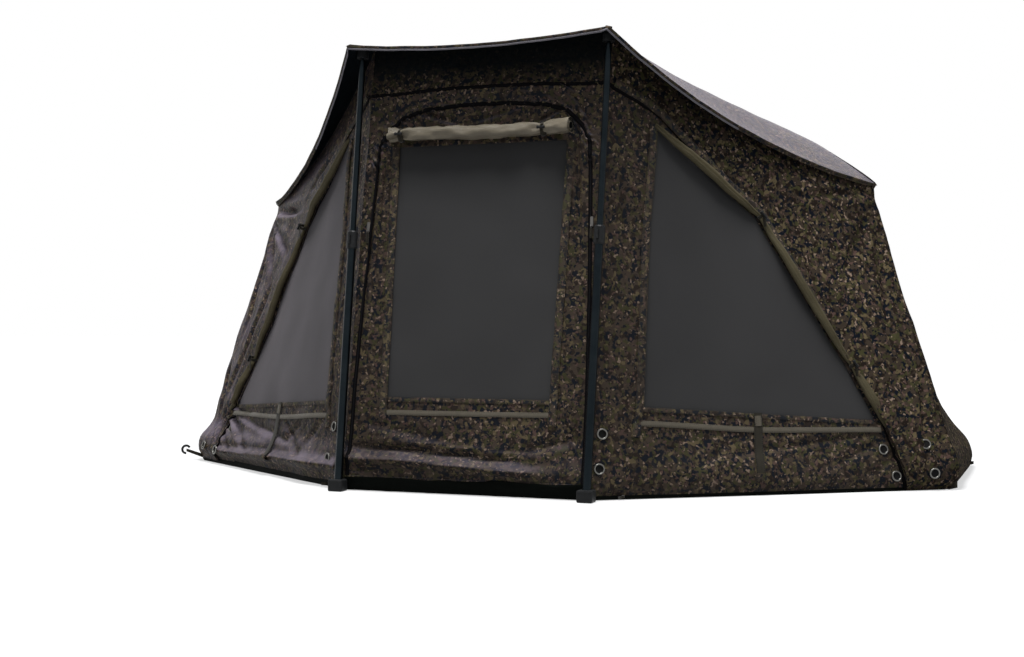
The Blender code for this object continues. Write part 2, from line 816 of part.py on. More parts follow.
def pole_top(side):
    """Where a pole's axis meets its socket, just under the front peak of the roof."""
    peak = rib_point(0, POLE_TOP_SHARE)
    height = peak.z + RIB_RADIUS - SOCKET_DROP - SOCKET_HEIGHT
    return Vector((side * (peak.x + POLE_OUTSET), peak.y, height))


def pole_frame(side):
    foot = Vector((side * POLE_FOOT_X, 0.0, 0.0))
    return along(foot, pole_top(side) - foot)


def pole_length():
    return (pole_top(1) - Vector((POLE_FOOT_X, 0.0, 0.0))).length


def socket_frame(side):
    return along(pole_top(side), pole_top(side) - Vector((side * POLE_FOOT_X, 0.0, 0.0)))


def rib_end_share():
    """Where a front rib stops, just short of its socket's side."""
    place = socket_frame(1).inverted()
    low = POLE_TOP_SHARE * 0.9
    high = POLE_TOP_SHARE
    for _ in range(20):
        middle = (low + high) / 2
        local = place @ rib_point(0, middle)
        if hypot(local.x, local.y) > SOCKET_RADIUS + 3 * FIT_GAP:
            low = middle
        else:
            high = middle
    return low


def pole_parts():
    for side, label in ((1, "right"), (-1, "left")):
        place = pole_frame(side)
        bore = POLE_RADIUS - POLE_WALL
        lower_end = LOWER_START + LOWER_LENGTH
        turned(
            f"pole_lower_{label}",
            [(POLE_RADIUS, lower_end), (POLE_RADIUS, LOWER_START), (bore, LOWER_START), (bore, lower_end)],
            "pole_alloy", place,
        )
        end = pole_length()
        inside = UPPER_RADIUS - POLE_WALL
        tip = end + SPIGOT_LENGTH
        shoulder, taper = (end - drop for drop in SPIGOT_TAPER)
        turned(
            f"pole_upper_{label}",
            [(0.0, tip), (SPIGOT_RADIUS, tip), (SPIGOT_RADIUS, shoulder), (UPPER_RADIUS, taper),
             (UPPER_RADIUS, UPPER_START), (inside, UPPER_START), (inside, end - UPPER_PLUG),
             (0.0, end - UPPER_PLUG)],
            "pole_alloy", place, closed=False,
        )
        grip = POLE_RADIUS + COLLAR_WALL
        low = lower_end - COLLAR_HEIGHT / 2
        high = lower_end + COLLAR_HEIGHT / 2
        wide = POLE_RADIUS + FIT_GAP
        narrow = UPPER_RADIUS + FIT_GAP
        step = lower_end + FIT_GAP
        inward, down = COLLAR_EDGE
        collar = turned(
            f"pole_collar_{label}",
            [(grip - inward, high), (grip, high - down), (grip, low + down), (grip - inward, low),
             (wide, low), (wide, step), (narrow, step), (narrow, high)],
            "black_plastic", place,
        )
        wing = block(
            "wing", (grip - inward, -WING_THICKNESS / 2, lower_end - WING_HEIGHT / 2),
            (grip + WING_REACH, WING_THICKNESS / 2, lower_end + WING_HEIGHT / 2),
        )
        turn = Matrix.Rotation(-pi / 2, 4, "Z")
        boolean(collar, cutter(f"collar_wing_{label}", wing, place @ turn), "UNION")

        size = (FOOT_WIDTH / 2, FOOT_DEPTH / 2)
        base = Matrix.Translation((side * POLE_FOOT_X, 0.0, 0.0))
        foot_block = block("foot", (-size[0], -size[1], 0.0), (size[0], size[1], FOOT_HEIGHT))
        foot = add(f"pole_foot_{label}", foot_block, "black_plastic", base)
        soften = foot.modifiers.new("edge", "BEVEL")
        soften.width = FOOT_EDGE
        soften.segments = 2
        soften.limit_method = "ANGLE"
        well = cylinder("foot_well", POLE_RADIUS + FIT_GAP, LOWER_START - FIT_GAP, FOOT_HEIGHT * 2)
        boolean(foot, cutter(f"foot_well_{label}", well, place), "DIFFERENCE")

        pin = SPIGOT_RADIUS + 2 * FIT_GAP
        roof = SPIGOT_LENGTH + SOCKET_GAP
        turned(
            f"peak_socket_{label}",
            [(0.0, SOCKET_HEIGHT), (SOCKET_RADIUS - SOCKET_EDGE, SOCKET_HEIGHT),
             (SOCKET_RADIUS, SOCKET_HEIGHT - SOCKET_EDGE), (SOCKET_RADIUS, SOCKET_GAP), (pin, SOCKET_GAP),
             (pin, roof), (0.0, roof)],
            "black_plastic", socket_frame(side), closed=False,
        )


# Pieces: roof, walls and brow

def wall_grid():
    """The right side wall: the front return outside the zip, then round the corner to mid-gore."""
    left_edge = [outer for outer, _ in SIDE_SEAM]
    left_edge += [SIDE_POLE_EDGE[0][0], (0.0, 1.0)]
    rows = []
    for level, (start, height) in enumerate(zip(left_edge, WALL_ROWS)):
        row = []
        for n in range(ACROSS + 1):
            along_row = n / ACROSS
            share = start[0] + (1 - start[0]) * along_row
            up = start[1] + (height - start[1]) * along_row
            row.append(panel_edge(share, up))
        if level == len(WALL_ROWS) - 1:
            row[0] = row[0] - (row[0] - side_panel(0.0, 0.0)).normalized() * NOTCH
        for n in range(1, ACROSS // 2 + 1):
            across = n / ACROSS
            point = hem_point(SIDE_GORE, across).lerp(under_roof(SIDE_GORE, across), height)
            if across == 0.5:
                back = roof_point(SIDE_GORE, 1.0, 1.0) - roof_point(SIDE_GORE, 0.0, 1.0)
                point = point - back.normalized() * SEAM_GAP
            row.append(point)
        rows.append(row)
    return rows


def rear_grid():
    """The right rear wall: from the middle of the side gore to the middle of the back."""
    rows = []
    levels = 5
    for level in range(levels + 1):
        height = level / levels
        row = []
        for n in range(ACROSS // 2, ACROSS + 1):
            across = n / ACROSS
            row.append(hem_point(SIDE_GORE, across).lerp(under_roof(SIDE_GORE, across), height))
        for n in range(1, ACROSS // 2 + 1):
            across = n / ACROSS
            point = hem_point(REAR_GORE, across).lerp(under_roof(REAR_GORE, across), height)
            if across == 0.5:
                point.x = SEAM_GAP / 2
            row.append(point)
        rows.append(row)
    return rows


def arch_points():
    """The front panel's top seam on the right, from the pole line to the middle."""
    return [centre_panel(*point) for point in ARCH]


def brow_grid():
    """The roof's front band between the right pole line and the middle, above the zip arch."""
    middle = centre_panel(0.0, ARCH[-1][1]) + RIGHT * (SEAM_GAP / 2)
    low_edge = [seam_corner(), *arch_points(), middle]
    tops = [under_roof(FRONT_GORE, 0.5 + n / ACROSS) for n in range(ACROSS // 2, -1, -1)]
    drop = (tops[0] - low_edge[0]).normalized()
    tops[0] = tops[0] - drop * NOTCH
    for edge in (low_edge, tops):
        edge[0] = edge[0] - RIGHT * (SEAM_GAP + FOLD_GAP)
    tops[-1].x = SEAM_GAP / 2
    return [low_edge, tops]


def seam_corner():
    """Where the front panel's zip crosses the pole line."""
    return side_panel(*SIDE_POLE_EDGE[0][0])


def flipped(rows):
    return [mirrored(row) for row in rows]


def canopy_parts():
    for number, (label, _, _) in enumerate(RIBS):
        sheet(f"roof_{label}", roof_sector(number), "roof_fabric", rib_point(number, 0.0))
    hung = (
        ("wall_side", wall_grid(), 1, 1.0),
        ("wall_rear", rear_grid(), 2, 1.0),
        ("brow", brow_grid(), 0, 0.0),
    )
    for name, rows, rib, share in hung:
        pivot = rib_point(rib, share)
        sheet(f"{name}_right", grid(rows), "camo_fabric", pivot)
        sheet(f"{name}_left", grid(flipped(rows)), "camo_fabric", mirrored([pivot])[0])


# Pieces: front panel, door and windows

def door_hinge():
    return centre_panel(0.0, DOOR_FOOT[1])


def door_pairs():
    """Right-hand points of the door's zip, each with the panel seam's point that faces it."""
    zip_line = [DOOR_FOOT, *DOOR_EDGE]
    rising = [side_panel(0.0, height) for _, height in DOOR_EDGE[:DOOR_UPRIGHT]]
    seam = [side_panel(0.0, 0.0), *rising, seam_corner()]
    seam = [point - RIGHT * FOLD_GAP for point in seam] + arch_points()
    return [(centre_panel(*inner), outer) for inner, outer in zip(zip_line, seam)]


def window_points():
    """Right-hand points of the door's window, one for each point of the door's zip."""
    low = centre_panel(*DOOR_WINDOW_BOTTOM)
    high = centre_panel(*DOOR_WINDOW_TOP)
    upright = [low.lerp(high, n / DOOR_UPRIGHT) for n in range(DOOR_UPRIGHT + 1)]
    return upright + [Vector((high.x * share, high.y, high.z)) for share in DOOR_WINDOW_TOP_SHARES]


def closed_loop(right_half):
    """A whole outline from its right half, listed from the bottom up."""
    return right_half + mirrored(right_half[::-1])


def front_parts():
    pairs = door_pairs()
    zip_loop = closed_loop([inner for inner, _ in pairs])
    seam_loop = closed_loop([outer for _, outer in pairs])
    window_loop = closed_loop(window_points())
    middle = Vector((0.0, 0.0, 0.0))
    sheet("infill_centre", ring(inset(seam_loop, SEAM_GAP), zip_loop), "camo_fabric", middle)
    hinge = door_hinge()
    sheet("door_panel", ring(inset(zip_loop, SEAM_GAP), window_loop), "camo_fabric", hinge)
    sheet("door_mesh", patch(inset(window_loop, SEAM_GAP)), "window_mesh", hinge)

    side_pairs = [*SIDE_HEM, *SIDE_SEAM, *SIDE_POLE_EDGE]
    outer = [panel_edge(*pair[0]) for pair in side_pairs]
    inner = [side_panel(*pair[1]) for pair in side_pairs]
    panel = inset(outer, SEAM_GAP)
    pane = inset(inner, SEAM_GAP)
    for label, turn in (("right", list), ("left", mirrored)):
        sheet(f"infill_{label}", ring(turn(panel), turn(inner)), "camo_fabric", middle)
        sheet(f"window_mesh_{label}", patch(turn(pane)), "window_mesh", middle)


def stand_off(share, height, distance):
    """A point in front of the right side panel."""
    here = side_panel(share, height)
    across = side_panel(share + NUDGE, height) - here
    up = side_panel(share, height + NUDGE) - here
    normal = across.cross(up).normalized()
    return here + (normal if normal.y < 0 else -normal) * distance


def cover_parts():
    hinge = door_hinge()
    end, height = DOOR_ROLL_END
    lift = DOOR_ROLL_RADIUS + SEAM_GAP
    steps = 6
    points = []
    for n in range(steps + 1):
        share = end * (2 * n / steps - 1)
        points.append(centre_panel(share, height) + PANEL_OUT * lift - hinge)
    add("door_cover_roll", rod("door_cover_roll", points, DOOR_ROLL_RADIUS, ROLL_SIDES), "cover_fabric",
        Matrix.Translation(hinge))

    first, last = SIDE_ROLL_ENDS
    steps = 12
    points = []
    for n in range(steps + 1):
        run = n / steps
        share = first[0] + (last[0] - first[0]) * run
        hang = SIDE_ROLL_SAG * abs(sin(pi * run * (SIDE_ROLL_TIES + 1)))
        height = seam_at(share) - (SIDE_ROLL_RADIUS / 4 + hang) / front_top(share).z
        points.append(stand_off(share, height, SIDE_ROLL_RADIUS + SIDE_ROLL_CLEAR))
    for label, turn in (("right", list), ("left", mirrored)):
        roll = rod(f"window_cover_{label}", turn(points), SIDE_ROLL_RADIUS, ROLL_SIDES)
        add(f"window_cover_{label}", roll, "cover_fabric")

    low, high = STRAP_HEIGHTS
    for label, side in (("right", 1), ("left", -1)):
        bottom = stand_off(STRAP_AT, low, SEAM_GAP + STRAP_THICKNESS / 2)
        top = stand_off(STRAP_AT, high, SEAM_GAP + STRAP_THICKNESS / 2)
        across = side_panel(STRAP_AT + NUDGE, low) - side_panel(STRAP_AT, low)
        bottom.x *= side
        top.x *= side
        across.x *= side
        up = (top - bottom).normalized()
        across = (across - up * across.dot(up)).normalized() * side
        length = (top - bottom).length
        strap = block("strap", (-STRAP_WIDTH / 2, -STRAP_THICKNESS / 2, 0.0),
                      (STRAP_WIDTH / 2, STRAP_THICKNESS / 2, length))
        add(f"strap_{label}", strap, "webbing", frame_at(bottom, across, up))


def seam_at(share):
    """The height of the side panel's outer seam at a share, from its listed points."""
    points = [outer for outer, _ in SIDE_SEAM]
    for (u_low, w_low), (u_high, w_high) in zip(points, points[1:]):
        if u_high <= share <= u_low:
            run = (share - u_low) / (u_high - u_low)
            return w_low + (w_high - w_low) * run
    return points[-1][1]


def slider_parts():
    """The two sliders of the door's zip, each on the panel's side of the zip line."""
    width, depth, height = SLIDER_SIZE
    low, high = DOOR_EDGE[1], DOOR_EDGE[2]
    run = (SLIDER_AT - low[1]) / (high[1] - low[1])
    for label, side in (("right", 1), ("left", -1)):
        start = centre_panel(side * low[0], low[1])
        end = centre_panel(side * high[0], high[1])
        up = (end - start).normalized()
        place = start.lerp(end, run) + RIGHT * (side * (width / 2 + SEAM_GAP))
        place = place + PANEL_OUT * (depth / 2 + SEAM_GAP)
        face = (PANEL_OUT - up * PANEL_OUT.dot(up)).normalized()
        frame = frame_at(place, face.cross(up), up)
        body = block("slider", (-width / 2, -depth / 2, -height / 2), (width / 2, depth / 2, height / 2))
        slider = add(f"zip_slider_{label}", body, "zip_metal", frame)
        soften = slider.modifiers.new("edge", "BEVEL")
        soften.width = SLIDER_EDGE
        soften.segments = 1
        soften.limit_method = "ANGLE"


hub_parts()
runner_parts()
ribs()
struts()
pole_parts()
canopy_parts()
front_parts()
cover_parts()
slider_parts()

for made in PARTS.objects:
    if made.type == "MESH":
        made.data.shade_smooth()
        made.data.set_sharp_from_angle(angle=radians(35))
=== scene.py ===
"""Looks of the fishing brolly shelter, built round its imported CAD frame. Metres, +Z up, +Y to
the back.

The shapes repeat the CAD's own surfaces at a finer step. They are written from the ground
midway between the pole feet, and SHIFT moves them to the frame's origin.
"""

from math import cos, exp, pi, radians, sin

import bmesh
import bpy
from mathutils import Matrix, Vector, noise
from mathutils.bvhtree import BVHTree


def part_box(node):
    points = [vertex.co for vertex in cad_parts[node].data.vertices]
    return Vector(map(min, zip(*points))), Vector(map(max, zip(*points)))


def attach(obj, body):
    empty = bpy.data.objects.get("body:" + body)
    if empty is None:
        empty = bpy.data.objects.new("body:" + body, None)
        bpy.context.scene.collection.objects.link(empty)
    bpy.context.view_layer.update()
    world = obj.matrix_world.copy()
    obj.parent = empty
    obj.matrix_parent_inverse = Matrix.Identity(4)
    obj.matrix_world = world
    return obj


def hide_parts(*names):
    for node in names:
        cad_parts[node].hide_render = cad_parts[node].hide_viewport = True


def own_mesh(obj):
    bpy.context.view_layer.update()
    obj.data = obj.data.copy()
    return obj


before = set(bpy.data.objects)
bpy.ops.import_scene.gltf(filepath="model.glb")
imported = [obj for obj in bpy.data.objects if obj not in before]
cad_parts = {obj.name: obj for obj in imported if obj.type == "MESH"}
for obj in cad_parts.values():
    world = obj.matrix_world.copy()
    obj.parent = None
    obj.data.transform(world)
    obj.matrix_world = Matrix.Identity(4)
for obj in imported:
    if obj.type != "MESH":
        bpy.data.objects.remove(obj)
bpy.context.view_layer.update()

# Camera: where the photograph was taken from, and its picture
PHOTO_WIDTH = 1024
FOCAL_PIXELS = 1500
SENSOR_WIDTH = 36.0
CAMERA_AT = Vector((1.721, -4.013, 0.520))
CAMERA_YAW = -0.369
CAMERA_PITCH = -0.007

SHIFT = Vector((0.0, -0.9995, 0.0))

# The CAD's sizes, which the looks follow
HUB_BACK = 1.339
HUB_HEIGHT = 1.420
HUB_TILT = radians(30.6)
RIB_AZIMUTHS = {"front": radians(22.5), "side": radians(79.8), "rear": radians(146.6)}
RIB_LENGTH = 1.257
RIB_DROOP = radians(32.6)
RIB_BULGE = 0.030
RIB_RADIUS = 0.005
PIVOT_RADIUS = 0.036
GORE_SAG = 0.022
FABRIC = 0.0020
SEAM_GAP = 0.0004
FIT_GAP = 0.0003
HEM_LIFT = 0.0016
WALL_LINE = {"front": 0.905, "side": 0.990, "rear": 0.998}
ROOF_OPENING = 0.052
POLE_HEM = (0.393, 0.026)
SIDE_CORNER = (1.326, 0.706)
SIDE_BACK_CORNER = (1.323, 1.484)
REAR_CORNER = (0.650, 1.980)
REAR_MIDDLE = (0.0, 2.020)
SIDE_BACK_AT = 0.375
SIDE_SEAM = (
    ((0.870, 0.000), (0.812, 0.200)),
    ((0.835, 0.190), (0.815, 0.214)),
    ((0.767, 0.372), (0.755, 0.372)),
    ((0.660, 0.560), (0.649, 0.556)),
    ((0.540, 0.733), (0.530, 0.725)),
    ((0.360, 0.812), (0.353, 0.801)),
    ((0.200, 0.874), (0.206, 0.853)),
    ((0.130, 0.886), (0.178, 0.850)),
)
SIDE_POLE_EDGE = (
    ((0.000, 0.886), (0.174, 0.790)),
    ((0.000, 0.600), (0.150, 0.600)),
    ((0.000, 0.300), (0.138, 0.400)),
)
SEAM_TOP = SIDE_POLE_EDGE[0][0]
SIDE_HEM = (
    ((0.000, 0.000), (0.130, 0.195)),
    ((0.290, 0.000), (0.353, 0.197)),
    ((0.580, 0.000), (0.577, 0.198)),
)
WALL_ROWS = (0.0, 0.13, 0.26, 0.40, 0.55, 0.68, 0.78, 0.86, 0.93, 1.0)
DOOR_FOOT = (0.9525, 0.0318)
DOOR_EDGE = (
    (0.9523, 0.2184),
    (0.9422, 0.4196),
    (0.9209, 0.5916),
    (0.9034, 0.7160),
    (0.8941, 0.7600),
    (0.8274, 0.7966),
    (0.7032, 0.8295),
    (0.5211, 0.8456),
    (0.2085, 0.8529),
)
DOOR_TOP = (0.0, 0.8535)
DOOR_UPRIGHT = 5
ARCH = ((0.7476, 0.8866), (0.4985, 0.8917), (0.2492, 0.8932))
ARCH_TOP = (0.0, 0.8932)
DOOR_WINDOW_BOTTOM = (0.6755, 0.2001)
DOOR_WINDOW_TOP = (0.7210, 0.7650)
DOOR_WINDOW_TOP_SHARES = (0.88, 0.66, 0.44, 0.18)
DOOR_ROLL_END = (0.7751, 0.7856)
STRAP_AT = 0.455
STRAP_HEIGHTS = (0.040, 0.205)
NOTCH = 0.018

INSIDE = Vector((0.0, 1.1, 0.5))
HUB = Vector((0.0, HUB_BACK, HUB_HEIGHT))
AXIS = Vector((0.0, sin(HUB_TILT), cos(HUB_TILT)))
FORWARD = Vector((0.0, -cos(HUB_TILT), sin(HUB_TILT)))
RIGHT = Vector((1.0, 0.0, 0.0))
UP = Vector((0.0, 0.0, 1.0))
RIBS = (
    ("front_right", "front", 1),
    ("side_right", "side", 1),
    ("rear_right", "rear", 1),
    ("rear_left", "rear", -1),
    ("side_left", "side", -1),
    ("front_left", "front", -1),
)
RIDGE_RISE = (RIB_RADIUS + FIT_GAP + FABRIC) / cos(radians(30))
FLANK, SIDE_GORE, REAR_GORE, FRONT_GORE = 0, 1, 2, 5
SIDES = (("right", 1), ("left", -1))

# How the roof's cloth leaves the CAD's roof: arched over the ribs, and slack at the rim between
# two of them, by kind of rib and by gore
ARCH_RISE = {"front": 0.0, "side": 0.040, "rear": 0.022}
ARCH_FROM = 0.25
RIM_SLACK = (0.036, 0.026, 0.022, 0.026, 0.036, 0.0)
SLACK_FROM = 0.80
TOP_BLEND = 0.89

# How finely the cloth is cut, and how thick it is
ROOF_STEPS = (32, 40)
WALL_STEPS = 8
GORE_STEPS = 8 * WALL_STEPS
RING_STEPS = (16, 22)
CLOTH = 0.0013
NET = 0.0006


# Geometry, as the CAD has it

def outward(azimuth):
    """The direction square to the hub's axis at this azimuth, 0 to the front."""
    return RIGHT * sin(azimuth) + FORWARD * cos(azimuth)


def rib_number(kind, side):
    """Ribs and the gores behind them are counted round from the right front rib."""
    return next(n for n, rib in enumerate(RIBS) if rib[1:] == (kind, side))


def rib_azimuth(number):
    _, kind, side = RIBS[number % len(RIBS)]
    return side * RIB_AZIMUTHS[kind]


def at_ribs(values, number):
    """The values of a gore's two ribs, from a table by kind of rib."""
    return [values[RIBS[rib % len(RIBS)][1]] for rib in (number, number + 1)]


def rib_point(number, share, rise=0.0):
    """A point at a share of a rib's length, so far outside its centreline."""
    radial = outward(rib_azimuth(number))
    x_axis = radial * cos(RIB_DROOP) - AXIS * sin(RIB_DROOP)
    z_axis = radial * sin(RIB_DROOP) + AXIS * cos(RIB_DROOP)
    out = RIB_BULGE * sin(pi * share) ** 2 + rise
    return HUB + radial * PIVOT_RADIUS + x_axis * (RIB_LENGTH * share) + z_axis * out


def clamped(value):
    return min(max(value, 0.0), 1.0)


def ease(run):
    """0 to 1, flat at both ends."""
    run = clamped(run)
    return run * run * (3 - 2 * run)


def gore_normal(number):
    middle = (outward(rib_azimuth(number)) + outward(rib_azimuth(number + 1))).normalized()
    return (middle * sin(RIB_DROOP) + AXIS * cos(RIB_DROOP)).normalized()


def plain_roof(number, across, share):
    """The CAD roof's outer face between a rib and the next one, slack between the two."""
    first = rib_point(number, share, RIDGE_RISE)
    second = rib_point(number + 1, share, RIDGE_RISE)
    sag = GORE_SAG * 4 * across * (1 - across) * share
    return first.lerp(second, across) - gore_normal(number) * sag


def billow(number, across, share):
    """How far the cloth stands off the CAD's roof here."""
    first, second = at_ribs(ARCH_RISE, number)
    run = max(0.0, (share - ARCH_FROM) / (1 - ARCH_FROM))
    rise = (first + (second - first) * ease(across)) * sin(pi * run * run)
    slack = RIM_SLACK[number % len(RIBS)] * 4 * across * (1 - across)
    return rise - slack * ease((share - SLACK_FROM) / (1 - SLACK_FROM))


def roof_point(number, across, share):
    return plain_roof(number, across, share) + gore_normal(number) * billow(number, across, share)


def wall_share(number, across):
    """Where the wall hangs from the roof, as a share of the ribs' length."""
    first, second = at_ribs(WALL_LINE, number)
    return first + (second - first) * across


def run_across(surface, number, across, share, step):
    """The way across a gore on a roof surface, from a little before a point to a little after."""
    low, high = max(across - step, 0.0), min(across + step, 1.0)
    return surface(number, high, share) - surface(number, low, share)


def up_from(run, other):
    """The normal of two directions on the roof, on its outer side."""
    normal = run.cross(other).normalized()
    return normal if normal.dot(AXIS) > 0 else -normal


def plain_normal(number, across, share, step=0.125):
    """The way that the CAD's roof faces."""
    inward = rib_point(number, 0).lerp(rib_point(number + 1, 0), 0.5)
    sideways = run_across(plain_roof, number, across, share, step)
    return up_from(sideways, inward - plain_roof(number, across, share))


def roof_normal(number, across, share, step=0.03):
    """The way that the billowed roof faces."""
    inner, outer = share - step, min(share + step, 1.0)
    along = roof_point(number, across, outer) - roof_point(number, across, inner)
    return up_from(run_across(roof_point, number, across, share, step), along)


def under_roof(number, across):
    """The top of a CAD wall: just inside the roof's inner face, mitred at the ribs."""
    share = wall_share(number, across)
    here = plain_roof(number, across, share)
    clear = FABRIC + 2 * SEAM_GAP
    normal = plain_normal(number, across, share)
    if across in (0.0, 1.0):
        neighbour, edge = (number - 1, 1.0) if across == 0.0 else (number + 1, 0.0)
        both = (normal + plain_normal(neighbour, edge, share)).normalized()
        return here - both * (clear / both.dot(normal))
    return here - normal * clear


def wall_lift(number, across, height):
    """How far a wall's upper edge goes with the billowed roof."""
    off = billow(number, across, wall_share(number, across))
    return gore_normal(number) * (off * ease((height - TOP_BLEND) / (1 - TOP_BLEND)))


def lifted(corner):
    """A corner of the plan, at the height of the hem."""
    return Vector((*corner, HEM_LIFT))


def mirror(point):
    return Vector((-point[0], point[1], point[2]))


def side_panel(share, height):
    """The curved surface between the right pole line and the corner line."""
    hem = lifted(POLE_HEM).lerp(lifted(SIDE_CORNER), share)
    return hem.lerp(under_roof(FLANK, share), height)


def left_panel(share, height):
    return mirror(side_panel(share, height))


PANELS = {1: side_panel, -1: left_panel}


def centre_panel(share, height):
    """The flat surface between the two pole lines."""
    point = side_panel(0.0, height)
    return Vector((point.x * share, point.y, point.z))


def arch_points():
    """The zip arch from the right pole line, where the front's zip crosses it, to its top."""
    return [side_panel(*SEAM_TOP), *(centre_panel(*point) for point in (*ARCH, ARCH_TOP))]


def hem_point(gore, across):
    """The hem below each part of the side and rear gores, on the right."""
    if gore == REAR_GORE:
        return lifted(REAR_CORNER).lerp(lifted(REAR_MIDDLE), across * 2)
    if across <= SIDE_BACK_AT:
        return lifted(SIDE_CORNER).lerp(lifted(SIDE_BACK_CORNER), across / SIDE_BACK_AT)
    run = (across - SIDE_BACK_AT) / (1 - SIDE_BACK_AT)
    return lifted(SIDE_BACK_CORNER).lerp(lifted(REAR_CORNER), run)


def forwards(normal):
    """The same normal, turned to the front where it faces back."""
    return -normal if normal.y > 0 else normal


def panel_normal(share, height, step=0.02):
    """The way that the right side panel faces."""
    across = side_panel(share + step, height) - side_panel(share - step, height)
    up = side_panel(share, height + step) - side_panel(share, height - step)
    return forwards(across.cross(up).normalized())


CENTRE_RISE = side_panel(0.0, 1.0) - side_panel(0.0, 0.0)
CENTRE_OUT = forwards(CENTRE_RISE.cross(RIGHT).normalized())


def between(points, run):
    """A point at a share of the way through a list of points, counted by its steps."""
    at = clamped(run) * (len(points) - 1)
    first = min(int(at), len(points) - 2)
    low, high = Vector(points[first]), Vector(points[first + 1])
    return low.lerp(high, at - first)


# Folds in the cloth: how far it stands out of the CAD's plain surface

# Each crease runs between two points (share, height) of a side panel, with its width and depth
SIDE_CREASES = (
    ((1.00, 0.96), (0.80, 0.62), 0.024, 0.0090),
    ((1.00, 0.95), (0.90, 0.40), 0.020, 0.0080),
    ((0.99, 0.97), (0.70, 0.84), 0.020, 0.0070),
    ((0.98, 0.90), (0.88, 0.70), 0.012, 0.0050),
    ((0.86, 0.17), (0.62, 0.05), 0.015, 0.0065),
    ((0.83, 0.17), (0.50, 0.12), 0.012, 0.0060),
    ((0.88, 0.12), (0.72, 0.02), 0.014, 0.0060),
    ((0.42, 0.15), (0.22, 0.03), 0.016, 0.0045),
    ((0.12, 0.17), (0.32, 0.05), 0.014, 0.0045),
    ((0.60, 0.13), (0.30, 0.09), 0.014, 0.0040),
    ((0.05, 0.80), (0.10, 0.35), 0.008, 0.0040),
    ((0.03, 0.60), (0.07, 0.20), 0.007, 0.0035),
    ((0.98, 0.35), (0.92, 0.03), 0.018, 0.0065),
    ((0.80, 0.60), (0.93, 0.25), 0.022, 0.0050),
)
# Only on the left, where the cloth is slacker. A negative depth is a ridge
LEFT_CREASES = (
    ((0.02, 0.048), (0.55, 0.044), 0.022, -0.0190),
    ((0.45, 0.044), (0.99, 0.036), 0.020, -0.0200),
    ((0.90, 0.200), (0.70, 0.105), 0.015, 0.0124),
    ((0.91, 0.190), (0.78, 0.080), 0.014, 0.0124),
    ((0.92, 0.170), (0.86, 0.070), 0.013, 0.0109),
    ((0.88, 0.215), (0.62, 0.150), 0.013, 0.0093),
    ((0.30, 0.150), (0.42, 0.080), 0.015, 0.0078),
    ((0.97, 0.950), (0.62, 0.820), 0.020, 0.0170),
    ((0.96, 0.900), (0.70, 0.700), 0.019, 0.0155),
    ((0.98, 0.880), (0.82, 0.620), 0.016, 0.0139),
    ((0.55, 0.860), (0.30, 0.900), 0.018, 0.0109),
    ((0.97, 0.800), (0.94, 0.450), 0.018, 0.0109),
)
# The same on the centre panel, between two points (share, height)
CENTRE_CREASES = (
    ((-0.97, 0.070), (-0.25, 0.064), 0.022, -0.0210),
    ((-0.40, 0.064), (0.66, 0.045), 0.020, -0.0190),
    ((-0.93, 0.098), (-0.30, 0.091), 0.010, 0.0150),
    ((-0.45, 0.093), (0.62, 0.070), 0.009, 0.0140),
    ((-0.95, 0.034), (-0.60, 0.066), 0.010, 0.0070),
    ((-0.80, 0.150), (-0.10, 0.110), 0.019, 0.0068),
    ((0.90, 0.130), (0.35, 0.085), 0.017, 0.0085),
    ((-0.88, 0.800), (-0.94, 0.350), 0.010, 0.0085),
    ((-0.82, 0.830), (-0.88, 0.400), 0.008, 0.0068),
    ((0.78, 0.830), (0.86, 0.450), 0.010, 0.0068),
    ((-0.55, 0.842), (-0.20, 0.812), 0.011, 0.0076),
    ((0.30, 0.845), (-0.10, 0.815), 0.011, 0.0068),
    ((0.62, 0.830), (0.45, 0.808), 0.010, 0.0059),
    ((-0.20, 0.960), (-0.55, 0.900), 0.014, 0.0051),
    ((0.78, 0.200), (0.93, 0.168), 0.007, 0.0059),
    ((0.78, 0.182), (0.94, 0.146), 0.007, 0.0068),
    ((0.79, 0.160), (0.94, 0.124), 0.007, 0.0059),
    ((0.80, 0.140), (0.94, 0.104), 0.007, 0.0059),
    ((0.60, 0.905), (0.78, 0.868), 0.008, 0.0059),
    ((0.66, 0.880), (0.84, 0.838), 0.007, 0.0059),
    ((0.74, 0.862), (0.90, 0.800), 0.007, 0.0059),
)
CREASE_SLACK = {1: 1.2, -1: 1.6}
# Beyond this many widths a crease isn't felt, and how strongly a rim stands up beside it
CREASE_REACH = 3.0
CREASE_RIM = 1.6
# How far the two ends of a side crease are lifted on the left, so that it isn't a plain mirror
LEFT_CREASE_LIFTS = (0.012, -0.010)
WALL_BELLY = {1: 0.034, -1: 0.006}
# Where a side wall's belly lies from front to back, how it eases in and out, how far from the
# middle it starts, and its height
BELLY_FROM = 0.42
BELLY_RISE = 0.30
BELLY_TO = 1.90
BELLY_FALL = 0.50
BELLY_ASIDE = 0.5
BELLY_ASIDE_RUN = 0.4
BELLY_TOP = 0.72
# The cloth is slacker left of the middle panel, with the full slack this much further on
LEFT_SLACK_AT = -0.42
LEFT_SLACK_RUN = 0.20
LEFT_SLACK = 0.8
SKIRT_BULGE = 0.014
SKIRT_SLACK = 1.2
SKIRT_HEIGHT = 0.070
SKIRT_WIDTH = 0.050
TUCK_HEIGHT = 0.034
TUCK_DEPTH = 0.010
PUCKER_DEPTH = 0.0055
PUCKER_REACH = 0.024
PUCKER_LENGTH = 0.027
PUCKER_HALF_WIDTH = 0.41
PUCKER_FROM_HEIGHT = 0.9
